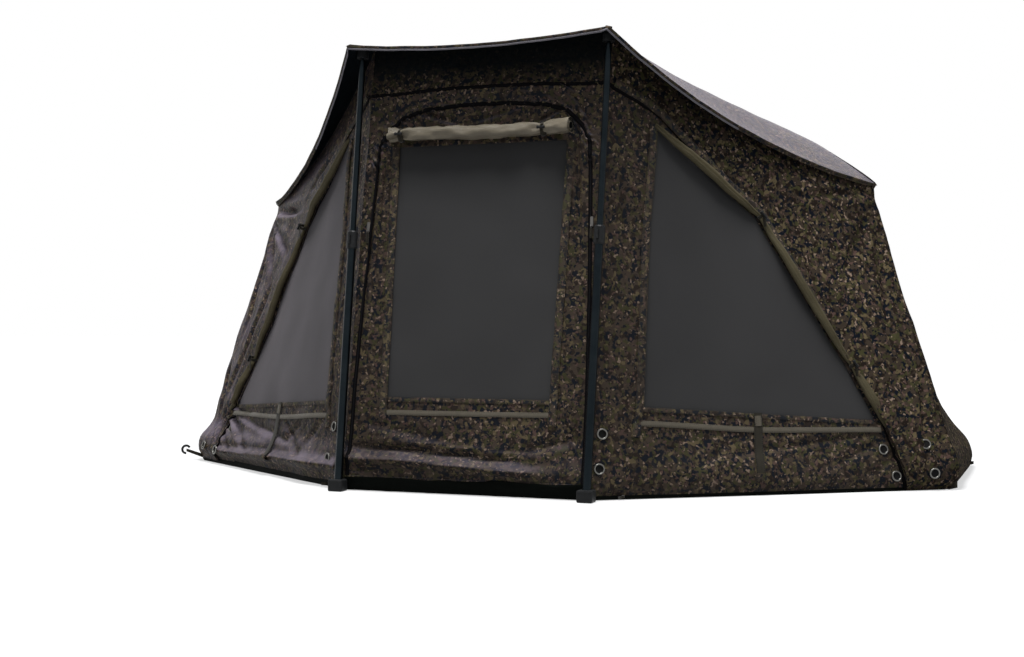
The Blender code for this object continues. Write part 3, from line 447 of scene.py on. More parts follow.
# Layers of noise in the cloth: how fine, how deep, and where in the noise it is taken
WALL_RIPPLES = ((5.0, 0.0045, (3.1, 0.7, 1.9)), (13.0, 0.0026, (0.4, 5.2, 2.6)))
FINE_RIPPLE = (34.0, 0.0008)
ROOF_RIPPLES = ((4.0, 0.0022, (9.3, 1.1, 4.2)), (15.0, 0.0016))


def crease_lines():
    """Every crease as two points, a width and a depth. The left side's cloth is slacker."""
    lines = []
    for start, end, width, depth in SIDE_CREASES:
        lines.append((side_panel(*start), side_panel(*end), width, depth * CREASE_SLACK[1]))
        ends = (left_panel(*at) + UP * lift for at, lift in zip((start, end), LEFT_CREASE_LIFTS))
        lines.append((*ends, width, depth * CREASE_SLACK[-1]))
    for creases, panel in ((LEFT_CREASES, left_panel), (CENTRE_CREASES, centre_panel)):
        lines += [(panel(*start), panel(*end), *size) for start, end, *size in creases]
    return lines


def pucker_lines():
    """The door's and the arch's zips, which gather the cloth beside them."""
    edge = [centre_panel(*point) for point in (*DOOR_EDGE[3:], DOOR_TOP)]
    arch = arch_points()
    lines = [*zip(edge, edge[1:]), *zip(arch, arch[1:])]
    return lines + [(mirror(first), mirror(last)) for first, last in lines]


CREASES = crease_lines()
PUCKERS = pucker_lines()


def ripple(point, scale, depth, offset=(0.0, 0.0, 0.0)):
    """One layer of noise."""
    return noise.noise(point * scale + Vector(offset)) * depth


def puckers(point):
    """Small gathers beside those two zips, in the upper part of the centre panel."""
    if abs(point.x) > PUCKER_HALF_WIDTH or point.z < PUCKER_FROM_HEIGHT:
        return 0.0
    wave = 0.0
    for first, last in PUCKERS:
        run = last - first
        share = (point - first).dot(run) / run.length_squared
        if -0.1 < share < 1.1:
            away = (point - first - run * share).length / PUCKER_REACH
            along = point.x + point.z
            turn = 2 * pi * along / PUCKER_LENGTH + 5 * noise.noise(point * 30.0)
            wave = max(wave, exp(-away * away) * (0.5 + 0.5 * sin(turn)), key=abs)
    return wave * PUCKER_DEPTH


def folds(point):
    """How far the walls' and the front's cloth stands out at a point."""
    leftward = ease((LEFT_SLACK_AT - point.x) / LEFT_SLACK_RUN)
    slack = 1 + LEFT_SLACK * leftward
    wave = sum(ripple(point, *layer) * slack for layer in WALL_RIPPLES)
    wave += ripple(point, *FINE_RIPPLE) + puckers(point)
    for first, last, width, depth in CREASES:
        run = last - first
        share = (point - first).dot(run) / run.length_squared
        if -0.2 < share < 1.2:
            away = (point - first - run * clamped(share)).length / width
            if away < CREASE_REACH:
                taper = max(0.0, sin(pi * clamped(share * 0.8 + 0.15)))
                wave -= depth * taper * (1 - CREASE_RIM * away * away) * exp(-away * away)
    skirt = exp(-(((point.z - SKIRT_HEIGHT) / SKIRT_WIDTH) ** 2)) * (1 + SKIRT_SLACK * leftward)
    wave += SKIRT_BULGE * skirt * (0.75 + 0.5 * noise.noise(point * 3.0))
    tuck = ease(1 - point.z / TUCK_HEIGHT)
    return wave * (1 - 0.8 * tuck) - TUCK_DEPTH * tuck


def roof_folds(point):
    """How far the roof's cloth stands out at a point: taut, with faint ripples."""
    return sum(ripple(point, *layer) for layer in ROOF_RIPPLES)


def on_side(side, share, height, lift=0.0):
    """A point on one side panel's folded cloth, and the way that it faces."""
    normal = panel_normal(share, height)
    if side < 0:
        normal = mirror(normal)
    point = PANELS[side](share, height)
    return point + normal * (folds(point) + lift), normal


def on_centre(share, height, lift=0.0):
    """The same on the centre panel."""
    point = centre_panel(share, height)
    return point + CENTRE_OUT * (folds(point) + lift), CENTRE_OUT


def side_line(side, stops, steps, lift):
    """A line over one side panel's cloth through these stops, for a ribbon."""
    return [on_side(side, *between(stops, n / steps), lift) for n in range(steps + 1)]


def centre_line(stops, steps, lift):
    return [on_centre(*between(stops, n / steps), lift) for n in range(steps + 1)]


# Materials

def feed(tree, socket, value):
    """Sets an input from a value, or links it to another node's output. None leaves it alone."""
    if isinstance(value, bpy.types.NodeSocket):
        tree.links.new(value, socket)
    elif value is not None:
        socket.default_value = value


def add_node(tree, kind, inputs=None, **settings):
    """A new node with its settings, and its inputs fed by name or number."""
    made = tree.nodes.new(f"ShaderNode{kind}")
    for name, value in settings.items():
        setattr(made, name, value)
    for name, value in (inputs or {}).items():
        feed(tree, made.inputs[name], value)
    return made


class Shade:
    """A material's node tree, with short calls for the nodes that this scene uses."""

    def __init__(self, name, roughness=0.6, metallic=0.0, specular=0.5):
        self.material = bpy.data.materials.new(name)
        self.material.use_nodes = True
        self.tree = self.material.node_tree
        self.shader = self.tree.nodes["Principled BSDF"]
        self.set("Roughness", roughness)
        self.set("Metallic", metallic)
        self.set("Specular IOR Level", specular)
        self.coordinates = self.node("TexCoord").outputs
        self.place = self.coordinates["Object"]

    def node(self, kind, inputs=None, **settings):
        return add_node(self.tree, kind, inputs, **settings)

    def set(self, name, value):
        """A value that is the same all over goes on the shader's own socket."""
        self.shader.inputs[name].default_value = value

    def layer(self, name, weight, roughness, tint=(1.0, 1.0, 1.0)):
        """The shader's Sheen or Coat."""
        self.set(f"{name} Weight", weight)
        self.set(f"{name} Roughness", roughness)
        self.set(f"{name} Tint", (*tint, 1.0))

    def join(self, output, name):
        self.tree.links.new(output, self.shader.inputs[name])

    def noise(self, scale, detail=2.0, rough=0.5, at=None, stretch=None):
        at = at or self.place
        if stretch:
            at = self.mapped(at, "Scale", stretch)
        inputs = {"Scale": scale, "Detail": detail, "Roughness": rough, "Vector": at}
        return self.node("TexNoise", inputs).outputs["Fac"]

    def mapped(self, vector, change, amount):
        """Coordinates moved, by Location, or stretched, by Scale."""
        return self.node("Mapping", {"Vector": vector, change: amount}).outputs["Vector"]

    def wave(self, scale, direction):
        inputs = {"Scale": scale, "Distortion": 0.0, "Vector": self.place}
        return self.node("TexWave", inputs, bands_direction=direction).outputs["Fac"]

    def ramp(self, value, stops, steps=False):
        """A colour ramp: stops are (position, grey)."""
        made = self.node("ValToRGB", {"Fac": value})
        made.color_ramp.interpolation = "CONSTANT" if steps else "LINEAR"
        for element, (position, grey) in zip(made.color_ramp.elements, stops):
            element.position = position
            element.color = (grey, grey, grey, 1.0)
        return made.outputs["Color"]

    def mix(self, share, first, second, blend="MIX"):
        """Two colours mixed, each a tuple or a socket. The node's own inputs 6 and 7 hold them."""
        first, second = ((*part, 1.0) if isinstance(part, tuple) else part for part in (first, second))
        inputs = {"Factor": share, 6: first, 7: second}
        return self.node("Mix", inputs, data_type="RGBA", blend_type=blend).outputs[2]

    def sum(self, operation, first, second=None):
        return self.node("Math", {0: first, 1: second}, operation=operation).outputs[0]

    def bump(self, height, distance, strength=1.0, after=None):
        """Bump on top of an earlier one, joined to the shader."""
        inputs = {"Height": height, "Distance": distance, "Strength": strength, "Normal": after}
        made = self.node("Bump", inputs).outputs["Normal"]
        self.join(made, "Normal")
        return made

    def parts(self, vector):
        """The X, Y and Z of a vector."""
        return self.node("SeparateXYZ", {0: vector}).outputs

    def uv(self):
        """How far along a tape, in metres, and the share of the way across it."""
        return self.parts(self.node("UVMap", uv_map="tape").outputs["UV"])[:2]

    def ribs(self, along, pitch):
        return self.sum("SINE", self.sum("MULTIPLY", along, 2 * pi / pitch))

    def stripe(self, across, middle, half_width):
        """1 within half a width of a line along a tape."""
        away = self.sum("ABSOLUTE", self.sum("SUBTRACT", across, middle))
        return self.sum("LESS_THAN", away, half_width)

    def stitches(self, pitch, length, rows, half_width):
        """Stitches in rows along a tape, and the rows that they lie in."""
        along, across = self.uv()
        places = self.sum("FRACT", self.sum("DIVIDE", along, pitch))
        stitch = self.ramp(places, [(0.0, 1.0), (length, 0.0)], True)
        lines = [self.stripe(across, row, half_width) for row in rows]
        all_rows = lines[0]
        for line in lines[1:]:
            all_rows = self.sum("MAXIMUM", all_rows, line)
        return self.sum("MULTIPLY", stitch, all_rows), all_rows


def toned(colour, factor, lift=0.0):
    """A colour made darker or lighter."""
    return tuple(min(1.0, part * factor + lift) for part in colour)


# Linear colours
BROWN = (0.045, 0.034, 0.025)
DARK_BROWN = (0.019, 0.014, 0.011)
INK = (0.007, 0.009, 0.013)
OLIVE = (0.047, 0.044, 0.021)
KHAKI = (0.106, 0.083, 0.046)
RUST = (0.082, 0.052, 0.043)
TAN = (0.225, 0.165, 0.122)
MUD = (0.070, 0.055, 0.042)
# Painted shade: the near-black colour that the brow fades to towards its top, under the roof's overhang
PAINTED_SHADE_COLOUR = (0.0030, 0.0045, 0.0055)
# Painted sheen: the pale colour that upward-facing folds get in place of the sky's reflection
PAINTED_SHEEN = (0.195, 0.168, 0.200)
LAVENDER = (0.86, 0.78, 0.96)
NET_THREAD = (0.031, 0.031, 0.031)
NET_HOLE = (0.041, 0.041, 0.041)
NET_SHEEN = (0.93, 0.84, 0.92)
ZIP_TAPE = ((0.002, 0.002, 0.003), (0.005, 0.004, 0.004))
ZIP_TEETH = (0.006, 0.006, 0.007)
HEM_STITCH = (0.018, 0.015, 0.012)

# The print's blotches over its brown ground: colour, fineness, place in the noise, and the
# value of the noise where a blotch starts
BLOTCHES = (
    (OLIVE, 54.0, (1.7, 0.3, 2.2), 0.550),
    (INK, 57.0, (5.1, 2.4, 0.8), 0.560),
    (RUST, 72.0, (0.6, 7.3, 3.5), 0.612),
    (KHAKI, 60.0, (4.4, 1.9, 6.1), 0.605),
    (INK, 104.0, (8.2, 3.1, 1.4), 0.620),
    (TAN, 88.0, (2.9, 6.6, 4.7), 0.655),
)
BLOTCH_EDGE = 0.045
BLOTCH_DRIFT = 0.12
DUST_HEIGHT = 0.14
CLOTH_THREAD = 0.0009
NET_THREAD_PITCH = 0.0016


def thread_scale(size):
    """The scale at which a wave texture repeats once a thread."""
    return pi / (10 * size)


def weave(shade, size, distance, after=None):
    """Fine threads both ways, as bump."""
    flat, level, deep = (shade.wave(thread_scale(size), direction) for direction in "XZY")
    threads = shade.sum("ADD", shade.sum("MULTIPLY", flat, level), deep)
    return shade.bump(threads, distance, 0.6, after)


def camouflage(shade, light=1.0):
    """Small scattered blotches in browns, greens and inks, of this scene's own layout."""
    drift = shade.noise(3.2, 2.0, 0.5)
    ground = shade.ramp(shade.noise(52.0, 1.0, 0.4), [(0.45, 0.0), (0.50, 1.0)])
    colour = shade.mix(ground, DARK_BROWN, BROWN)
    for tone, scale, offset, edge in BLOTCHES:
        field = shade.noise(scale, 1.5, 0.45, at=shade.mapped(shade.place, "Location", offset))
        drifted = shade.sum("MULTIPLY", shade.sum("SUBTRACT", drift, 0.5), BLOTCH_DRIFT)
        mask = shade.ramp(shade.sum("ADD", field, drifted), [(edge, 0.0), (edge + BLOTCH_EDGE, 1.0)])
        colour = shade.mix(mask, colour, toned(tone, light))
    return colour


def hem_dust(shade, colour):
    """Dried mud thrown up along the bottom of the cloth."""
    low = shade.ramp(shade.parts(shade.place)["Z"], [(0.0, 1.0), (DUST_HEIGHT, 0.0)])
    spots = shade.ramp(shade.noise(26.0, 4.0, 0.7), [(0.50, 0.0), (0.72, 0.55)])
    return shade.mix(shade.sum("MULTIPLY", low, spots), colour, MUD)


def painted_sky_sheen(shade, colour, share):
    """A painted sheen: pale lavender colour where folds face upwards, in place of the sky's reflection."""
    facing = shade.ramp(shade.parts(shade.coordinates["Normal"])["Z"], [(0.20, 0.0), (0.58, share)])
    patches = shade.ramp(shade.noise(8.0, 4.0, 0.65), [(0.32, 0.30), (0.66, 1.0)])
    return shade.mix(shade.sum("MULTIPLY", facing, patches), colour, PAINTED_SHEEN)


def cloth_material(name, light, roughness, sheen, coat=0.0, specular=0.08, painted_shade_top=False, painted_sheen=0.0):
    """Coated printed polyester: camouflage, fine weave, faint creasing and a soft sheen.

    A piece can be painted darker towards its top, where it meets the roof: painted shade under the
    roof's overhang. Upward-facing folds can be painted paler: a painted sheen for the sky's reflection.
    """
    shade = Shade(name, roughness, specular=specular)
    shade.set("Coat IOR", 1.28)
    fade = shade.ramp(shade.noise(1.6, 3.0, 0.6), [(0.3, 0.86), (0.7, 1.12)])
    colour = shade.mix(1.0, hem_dust(shade, camouflage(shade, light)), fade, "MULTIPLY")
    # Painted sheen: paler where folds face upwards
    if painted_sheen:
        colour = painted_sky_sheen(shade, colour, painted_sheen)
    # Painted shade: darker towards the top, under the roof's overhang
    if painted_shade_top:
        share = shade.ramp(shade.uv()[1], [(0.08, 0.0), (0.54, 0.93)])
        colour = shade.mix(share, colour, PAINTED_SHADE_COLOUR)
    shade.join(colour, "Base Color")
    shade.layer("Sheen", sheen, 0.35, LAVENDER)
    if coat:
        shade.layer("Coat", coat, 0.36, LAVENDER)
    rough = [(0.3, roughness - 0.08), (0.7, roughness + 0.10)]
    shade.join(shade.ramp(shade.noise(7.0, 4.0, 0.6), rough), "Roughness")
    crumple = shade.bump(shade.noise(15.0, 3.0, 0.55, stretch=(1.0, 1.0, 0.55)), 0.010, 0.75)
    pucker = shade.bump(shade.noise(85.0, 2.0, 0.5), 0.0016, 0.6, crumple)
    weave(shade, CLOTH_THREAD, 0.0002, pucker)
    return shade.material


def plain_cloth(name, colour, roughness, sheen, specular=0.12, thread=0.0012):
    """Cloth of one colour, with slubs, weave and rubbed places."""
    shade = Shade(name, roughness, specular=specular)
    slub = shade.noise(140.0, 3.0, 0.6, stretch=(0.3, 0.3, 2.2))
    tone = shade.mix(slub, toned(colour, 0.72), toned(colour, 1.22))
    patch = shade.ramp(shade.noise(9.0, 3.0, 0.6), [(0.3, 0.85), (0.7, 1.12)])
    shade.join(shade.mix(1.0, tone, patch, "MULTIPLY"), "Base Color")
    shade.layer("Sheen", sheen, 0.4)
    weave(shade, thread, 0.0003, shade.bump(shade.noise(48.0, 3.0, 0.55), 0.0022, 0.5))
    return shade.material


def net_material():
    """Fine insect mesh: dark threads with tiny holes and a soft grey sheen."""
    shade = Shade("insect_mesh", 0.62, specular=0.06)
    across, up = (shade.wave(thread_scale(NET_THREAD_PITCH), direction) for direction in "XZ")
    grid = shade.sum("MULTIPLY", across, up)
    tone = shade.mix(shade.ramp(grid, [(0.2, 0.0), (0.6, 1.0)]), NET_THREAD, NET_HOLE)
    cloud = shade.ramp(shade.noise(2.3, 2.0, 0.5), [(0.3, 0.93), (0.7, 1.07)])
    shade.join(shade.mix(1.0, tone, cloud, "MULTIPLY"), "Base Color")
    shade.layer("Sheen", 0.22, 0.45, NET_SHEEN)
    shade.bump(grid, 0.0003, 0.4)
    return shade.material


def tape_material(name, colour, stitch_colour, roughness=0.75, rows=(0.14, 0.86), pitch=0.0016):
    """Woven tape: ribs across it and rows of stitches along it, from the tape's own UV."""
    shade = Shade(name, roughness, specular=0.08)
    sewn, furrows = shade.stitches(0.0055, 0.62, rows, 0.045)
    weft = shade.ribs(shade.uv()[0], pitch)
    body = shade.mix(shade.noise(60.0, 3.0, 0.6), toned(colour, 0.75), toned(colour, 1.2))
    shade.join(shade.mix(sewn, body, stitch_colour), "Base Color")
    shade.set("Sheen Weight", 0.15)
    relief = shade.sum("SUBTRACT", sewn, furrows)
    shade.bump(shade.sum("ADD", shade.sum("MULTIPLY", weft, 0.25), relief), 0.0005, 0.7)
    return shade.material


def sewn_camouflage(name, light=0.9, rows=(0.12, 0.88)):
    """The printed cloth as a narrow hem or flap, with rows of stitches along it."""
    shade = Shade(name, 0.62, specular=0.12)
    sewn, furrows = shade.stitches(0.0050, 0.6, rows, 0.035)
    shade.join(shade.mix(sewn, hem_dust(shade, camouflage(shade, light)), HEM_STITCH), "Base Color")
    relief = shade.bump(shade.sum("SUBTRACT", sewn, furrows), 0.0008, 0.8)
    crumple = shade.bump(shade.noise(60.0, 3.0, 0.5), 0.0015, 0.4, relief)
    weave(shade, CLOTH_THREAD, 0.0002, crumple)
    return shade.material


def zip_material():
    """Coil zip: black tape, with teeth along its middle."""
    shade = Shade("zip_coil", 0.6, specular=0.02)
    along, across = shade.uv()
    middle = shade.stripe(across, 0.5, 0.17)
    shade.join(shade.mix(middle, shade.mix(shade.noise(90.0), *ZIP_TAPE), ZIP_TEETH), "Base Color")
    shade.bump(shade.sum("MULTIPLY", shade.ribs(along, 0.0022), middle), 0.0008, 0.8)
    return shade.material


def plastic_material(name, colour, roughness, grain=0.0004):
    """Moulded nylon: fine grain, rubbed paler on its edges."""
    shade = Shade(name, roughness, specular=0.12)
    pointed = shade.node("NewGeometry").outputs["Pointiness"]
    edge = shade.ramp(pointed, [(0.52, 0.0), (0.62, 0.6)])
    worn = shade.sum("MULTIPLY", edge, shade.noise(70.0, 3.0, 0.6))
    tone = shade.mix(shade.noise(24.0, 3.0, 0.6), toned(colour, 0.8), toned(colour, 1.25))
    shade.join(shade.mix(worn, tone, toned(colour, 4, 0.03)), "Base Color")
    rough = [(0.3, roughness - 0.1), (0.7, roughness + 0.1)]
    shade.join(shade.ramp(shade.noise(40.0, 3.0, 0.6), rough), "Roughness")
    shade.bump(shade.noise(900.0, 2.0, 0.6), grain, 0.5)
    return shade.material


def metal_material(name, colour, roughness, scratch=0.35):
    """Drawn metal tube or wire: long faint scratches and dull handling marks."""
    shade = Shade(name, roughness, metallic=1.0)
    lines = shade.noise(420.0, 2.0, 0.6, stretch=(1.0, 1.0, 0.03))
    marks = shade.ramp(shade.noise(14.0, 4.0, 0.65), [(0.35, 0.0), (0.75, scratch)])
    shade.join(shade.mix(marks, colour, toned(colour, 1.9, 0.01)), "Base Color")
    shade.join(shade.ramp(lines, [(0.3, roughness - 0.07), (0.7, roughness + 0.12)]), "Roughness")
    shade.bump(lines, 0.0002, 0.3)
    return shade.material


MATERIALS = {
    "wall_right": cloth_material("wall_cloth", 1.05, 0.55, 0.0, coat=0.03, specular=0.0),
    # The left wall's cloth carries a strong painted sheen on its upward-facing folds
    "wall_left": cloth_material("sheen_painted_wall_cloth", 1.0, 0.50, 0.02, 0.26, 0.02, painted_sheen=0.80),
    # Painted shade: the brow is a darker copy of the front's cloth, darkest towards its top under the roof
    "brow": cloth_material("brow_cloth", 0.66, 0.60, 0.0, specular=0.04, painted_shade_top=True),
    "roof": cloth_material("roof_cloth", 1.1, 0.42, 0.45, coat=0.35, specular=0.35),
    # Lit and shaded copies of one front cloth: the left painted paler with strong painted sheen, the middle
    # painted darker as shade with a little painted sheen
    "front_right": cloth_material("front_cloth", 0.86, 0.52, 0.0, coat=0.12, specular=0.04),
    "front": cloth_material("door_cloth", 0.78, 0.52, 0.0, 0.12, 0.04, painted_sheen=0.26),
    "front_left": cloth_material("sheen_painted_front_cloth", 1.0, 0.46, 0.02, 0.13, 0.02, painted_sheen=0.85),
    "lining": plain_cloth("coated_lining", (0.0042, 0.0062, 0.0080), 0.55, 0.0, 0.04),
    "hem": sewn_camouflage("sewn_cloth"),
    "net": net_material(),
    # Lit and shaded copies of one cover cloth: the door's cover painted paler, the side windows' covers
    # painted darker as shade
    "roll": plain_cloth("cover_cloth", (0.142, 0.121, 0.086), 0.42, 0.04, 0.30),
    "side_roll": plain_cloth("shaded_cover_cloth", (0.080, 0.068, 0.040), 0.60, 0.0, 0.08),
    "strip": tape_material("khaki_tape", (0.105, 0.092, 0.070), (0.045, 0.038, 0.028)),
    "strap": tape_material("dark_webbing", (0.022, 0.019, 0.013), (0.008, 0.007, 0.006), rows=(0.08, 0.92)),
    "rim": tape_material("rim_tape", (0.190, 0.180, 0.200), (0.080, 0.075, 0.085), 0.6, rows=(0.5,)),
    "zip": zip_material(),
    "flap": plain_cloth("mud_flap", (0.0026, 0.0034, 0.0028), 0.60, 0.0, 0.02, 0.002),
    "pole": metal_material("anodised_tube", (0.0090, 0.0125, 0.0150), 0.32, 0.30),
    "plastic": plastic_material("black_nylon", (0.0050, 0.0054, 0.0058), 0.42),
    "rod": plastic_material("glass_fibre", (0.022, 0.022, 0.022), 0.35, 0.0001),
    "steel": metal_material("steel", (0.42, 0.42, 0.44), 0.28),
    "gunmetal": metal_material("gunmetal", (0.120, 0.117, 0.108), 0.34, 0.5),
    "zip_metal": metal_material("zip_slider_metal", (0.10, 0.095, 0.09), 0.36),
    # Painted shade: the near-black disc in each eyelet's hole
    "dark": plastic_material("eyelet_hole_shade", (0.004, 0.004, 0.004), 0.8),
}


# Making pieces

def open_mesh(rows):
    """A bmesh surface through rows of points."""
    bm = bmesh.new()
    lines = [[bm.verts.new(point) for point in row] for row in rows]
    for low, high in zip(lines, lines[1:]):
        for n in range(len(low) - 1):
            bm.faces.new((low[n], low[n + 1], high[n + 1], high[n]))
    return bm


def layered_mesh(rows):
    """The same, with each row's share of the way up kept as UV."""
    bm = open_mesh(rows)
    bm.verts.index_update()
    layer = bm.loops.layers.uv.new("tape")
    for face in bm.faces:
        for loop in face.loops:
            row = loop.vert.index // len(rows[0])
            loop[layer].uv = (0.0, row / (len(rows) - 1))
    return bm


def face_outwards(bm):
    """Turns an open surface's faces away from the middle of the shelter."""
    bmesh.ops.recalc_face_normals(bm, faces=bm.faces)
    bm.normal_update()
    middle = sum((v.co for v in bm.verts), Vector()) / len(bm.verts)
    facing = sum((f.normal * f.calc_area() for f in bm.faces), Vector())
    if facing.dot(middle - INSIDE) < 0:
        bmesh.ops.reverse_faces(bm, faces=bm.faces)
    bm.normal_update()


def finish_piece(name, bm, material, body, nodes=()):
    """Turns a bmesh into a piece that rides on a body and stands for CAD nodes."""
    bmesh.ops.translate(bm, vec=SHIFT, verts=bm.verts)
    data = bpy.data.meshes.new(name)
    bm.to_mesh(data)
    bm.free()
    data.shade_smooth()
    data.materials.append(MATERIALS[material])
    piece = bpy.data.objects.new(name, data)
    bpy.context.scene.collection.objects.link(piece)
    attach(piece, body)
    if nodes:
        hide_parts(*nodes)
    return piece


def thicken(piece, thickness, lining=None):
    """Gives a sheet its thickness inwards, and its inner face a lining."""
    solid = piece.modifiers.new("thickness", "SOLIDIFY")
    solid.thickness = thickness
    solid.offset = -1.0
    if lining:
        piece.data.materials.append(MATERIALS[lining])
        solid.material_offset = 1
    even = piece.modifiers.new("even_shading", "WEIGHTED_NORMAL")
    even.weight = 100
    return piece


def cloth(name, bm, material, body, nodes, field=folds, thickness=CLOTH):
    """A sheet of cloth from a plain surface: joined, faced outwards, folded and thickened."""
    bmesh.ops.remove_doubles(bm, verts=bm.verts, dist=0.00005)
    face_outwards(bm)
    moves = [(v, v.normal * field(v.co)) for v in bm.verts]
    for v, move in moves:
        v.co += move
        v.co.z = max(v.co.z, HEM_LIFT)
    lining = None if material == "net" else "lining"
    return thicken(finish_piece(name, bm, material, body, nodes), thickness, lining)


def fold_flat(piece):
    """Gives a piece its own copy of its mesh."""
    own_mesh(piece)


def taut(points, passes):
    """Evens a line out, so that a tape spans small folds."""
    for _ in range(passes):
        triples = zip(points, points[1:], points[2:])
        inner = [(before + 2 * here + after) / 4 for before, here, after in triples]
        points = [points[0], *inner, points[-1]]
    return points


# A tape's section: shares of its width, and of its thickness
TAPE_SECTION = ((-0.5, 0.0), (-0.47, 0.8), (-0.2, 1.0), (0.2, 1.0), (0.47, 0.8), (0.5, 0.0))
CROWN = 0.35


def ribbon(name, line, size, material, body, slot, crown=CROWN, closed=False, passes=0):
    """A tape along a line of (point, normal), with square edges and a slightly raised middle."""
    bm = bmesh.new()
    width, thickness = size
    layer = bm.loops.layers.uv.new("tape")
    section = [(width * x, thickness * (z + crown * z * (1 - 4 * x * x))) for x, z in TAPE_SECTION]
    points = taut([Vector(point) for point, _ in line], passes)
    count = len(points)
    rings, lengths = [], [0.0]
    for n, (_, normal) in enumerate(line):
        before = points[n - 1] if n or closed else points[n]
        after = points[(n + 1) % count] if n < count - 1 or closed else points[n]
        across = (after - before).cross(normal).normalized()
        rings.append([bm.verts.new(points[n] + across * aside + normal * up) for aside, up in section])
        if n:
            lengths.append(lengths[-1] + (points[n] - points[n - 1]).length)
    if closed:
        rings.append(rings[0])
        lengths.append(lengths[-1] + (points[0] - points[-1]).length)
    sides = len(section)
    for n, (one, two) in enumerate(zip(rings, rings[1:])):
        for m in range(sides):
            k = (m + 1) % sides
            face = bm.faces.new((one[m], one[k], two[k], two[m]))
            corners = ((n, m), (n, m + 1), (n + 1, m + 1), (n + 1, m))
            for loop, (step, side) in zip(face.loops, corners):
                across = TAPE_SECTION[side][0] + 0.5 if side < sides else 0.0
                loop[layer].uv = (lengths[step], across)
    if not closed:
        bm.faces.new(rings[0])
        bm.faces.new(rings[-1][::-1])
    bmesh.ops.recalc_face_normals(bm, faces=bm.faces)
    piece = finish_piece(name, bm, material, body)
    piece.data.set_sharp_from_angle(angle=radians(50))
    return piece


def ring_surface(outer, inner, place=Vector):
    """Rows of points between an opening and the edge round it, each put in its place."""
    along, across = RING_STEPS
    count = len(outer)
    rows = []
    for n in range(count * along + 1):
        run = (n / along) % count
        first = int(run)
        ends = [loop[first].lerp(loop[(first + 1) % count], run - first) for loop in (outer, inner)]
        rows.append([place(ends[0].lerp(ends[1], m / across)) for m in range(across + 1)])
    return rows


def circle(bm, centre, x_axis, y_axis, size, count, offset=0.0):
    """Adds the points of a circle to a bmesh, moved along its first axis by an offset."""
    turns = [2 * pi * n / count for n in range(count)]
    return [
        bm.verts.new(centre + x_axis * (offset + size * cos(turn)) + y_axis * (size * sin(turn)))
        for turn in turns
    ]


def bridge(bm, rings):
    """Adds the faces between circles of points, each circle to the next."""
    for one, two in zip(rings, rings[1:]):
        for m in range(len(one)):
            k = (m + 1) % len(one)
            bm.faces.new((one[m], one[k], two[k], two[m]))


def torus_mesh(bm, centre, normal, radius, thick, around=28, sides=10):
    """Adds a ring to a bmesh, square to a normal."""
    x_axis = normal.orthogonal().normalized()
    y_axis = normal.cross(x_axis)
    rings = []
    for n in range(around):
        out = x_axis * cos(2 * pi * n / around) + y_axis * sin(2 * pi * n / around)
        rings.append(circle(bm, centre, out, normal, thick, sides, radius))
    for one, two in zip(rings, rings[1:] + rings[:1]):
        for m in range(sides):
            k = (m + 1) % sides
            bm.faces.new((one[m], two[m], two[k], one[k]))


# Roof

SEAM_SIZE = (0.020, 0.0009)
SEAM_SINK = 0.0002
SEAM_STEPS = 40
RIM_DROP = 0.004
RIM_OUT = 0.0004
RIM_THICKNESS = 0.0016
# The rim's bands: name, height, width, and materials at the front and elsewhere
RIM_BANDS = (("rim_band", 0.0010, 0.008, "hem", "hem"), ("rim_tape", -0.0062, 0.006, "rim", "hem"))


def roof_pieces():
    """The roof in six sectors, each over its own rib, with a seam tape and its share of the rim."""
    across_steps, down_steps = ROOF_STEPS
    half = across_steps // 2
    top = ROOF_OPENING / RIB_LENGTH
    for number, (label, kind, _) in enumerate(RIBS):
        body = f"rib_{label}"
        columns = [(number - 1, 0.5 + 0.5 * n / half) for n in range(half)]
        columns += [(number, 0.5 * n / half) for n in range(half + 1)]
        shares = [top + (1.0 - top) * level / down_steps for level in range(down_steps + 1)]
        rows = [[roof_point(gore, across, share) for gore, across in columns] for share in shares]
        name = f"roof_cloth_{label}"
        roof = cloth(name, open_mesh(rows), "roof", body, [f"roof_{label}"], roof_folds)
        fold_flat(roof)
        tape = []
        for n in range(SEAM_STEPS + 1):
            share = top + (1.0 - top) * n / SEAM_STEPS
            normal = (rib_point(number, share, 1.0) - rib_point(number, share)).normalized()
            point = roof_point(number, 0.0, share)
            tape.append((point + normal * (roof_folds(point) - SEAM_SINK), normal))
        name = f"roof_seam_{label}"
        fold_flat(ribbon(name, tape, SEAM_SIZE, "hem", body, "roof_fabric"))
        rim_pieces(label, kind == "front", columns)


def rim_pieces(label, front, columns):
    """The folded band round the roof's rim: printed cloth above, tape below, pale at the front."""
    for name, height, width, at_front, elsewhere in RIM_BANDS:
        line = []
        for gore, across in columns:
            point = roof_point(gore, across, 1.0)
            up = roof_normal(gore, across, 1.0)
            out = run_across(roof_point, gore, across, 1.0, 0.02).cross(up).normalized()
            if out.dot(point - HUB) < 0:
                out = -out
            rise = up * (roof_folds(point) + height - RIM_DROP)
            line.append((point + rise + out * RIM_OUT, out))
        material = at_front if front else elsewhere
        size = (width, RIM_THICKNESS)
        name = f"{name}_{label}"
        fold_flat(ribbon(name, line, size, material, f"rib_{label}", "roof_fabric", 0.5))


# Walls

BROW_STEPS = (32, 8)
BROW_TOP = 1.325
BROW_FADE = 0.06
# The walls' folds fade out towards a line that falls from the middle to the sides, and keep a
# small share of their depth above it
WALL_FADE_HEIGHT = 1.36
WALL_FADE_DROP = 0.48
WALL_FADE_OUT = 1.15
WALL_FADE = 0.10
WALL_FADE_LIFT = 0.05
WALL_FOLDS_LEFT = 0.05


def hung(gore, across, height):
    """A point of the side or rear wall between its hem and the roof."""
    point = hem_point(gore, across).lerp(under_roof(gore, across), height)
    return point + wall_lift(gore, across, height)


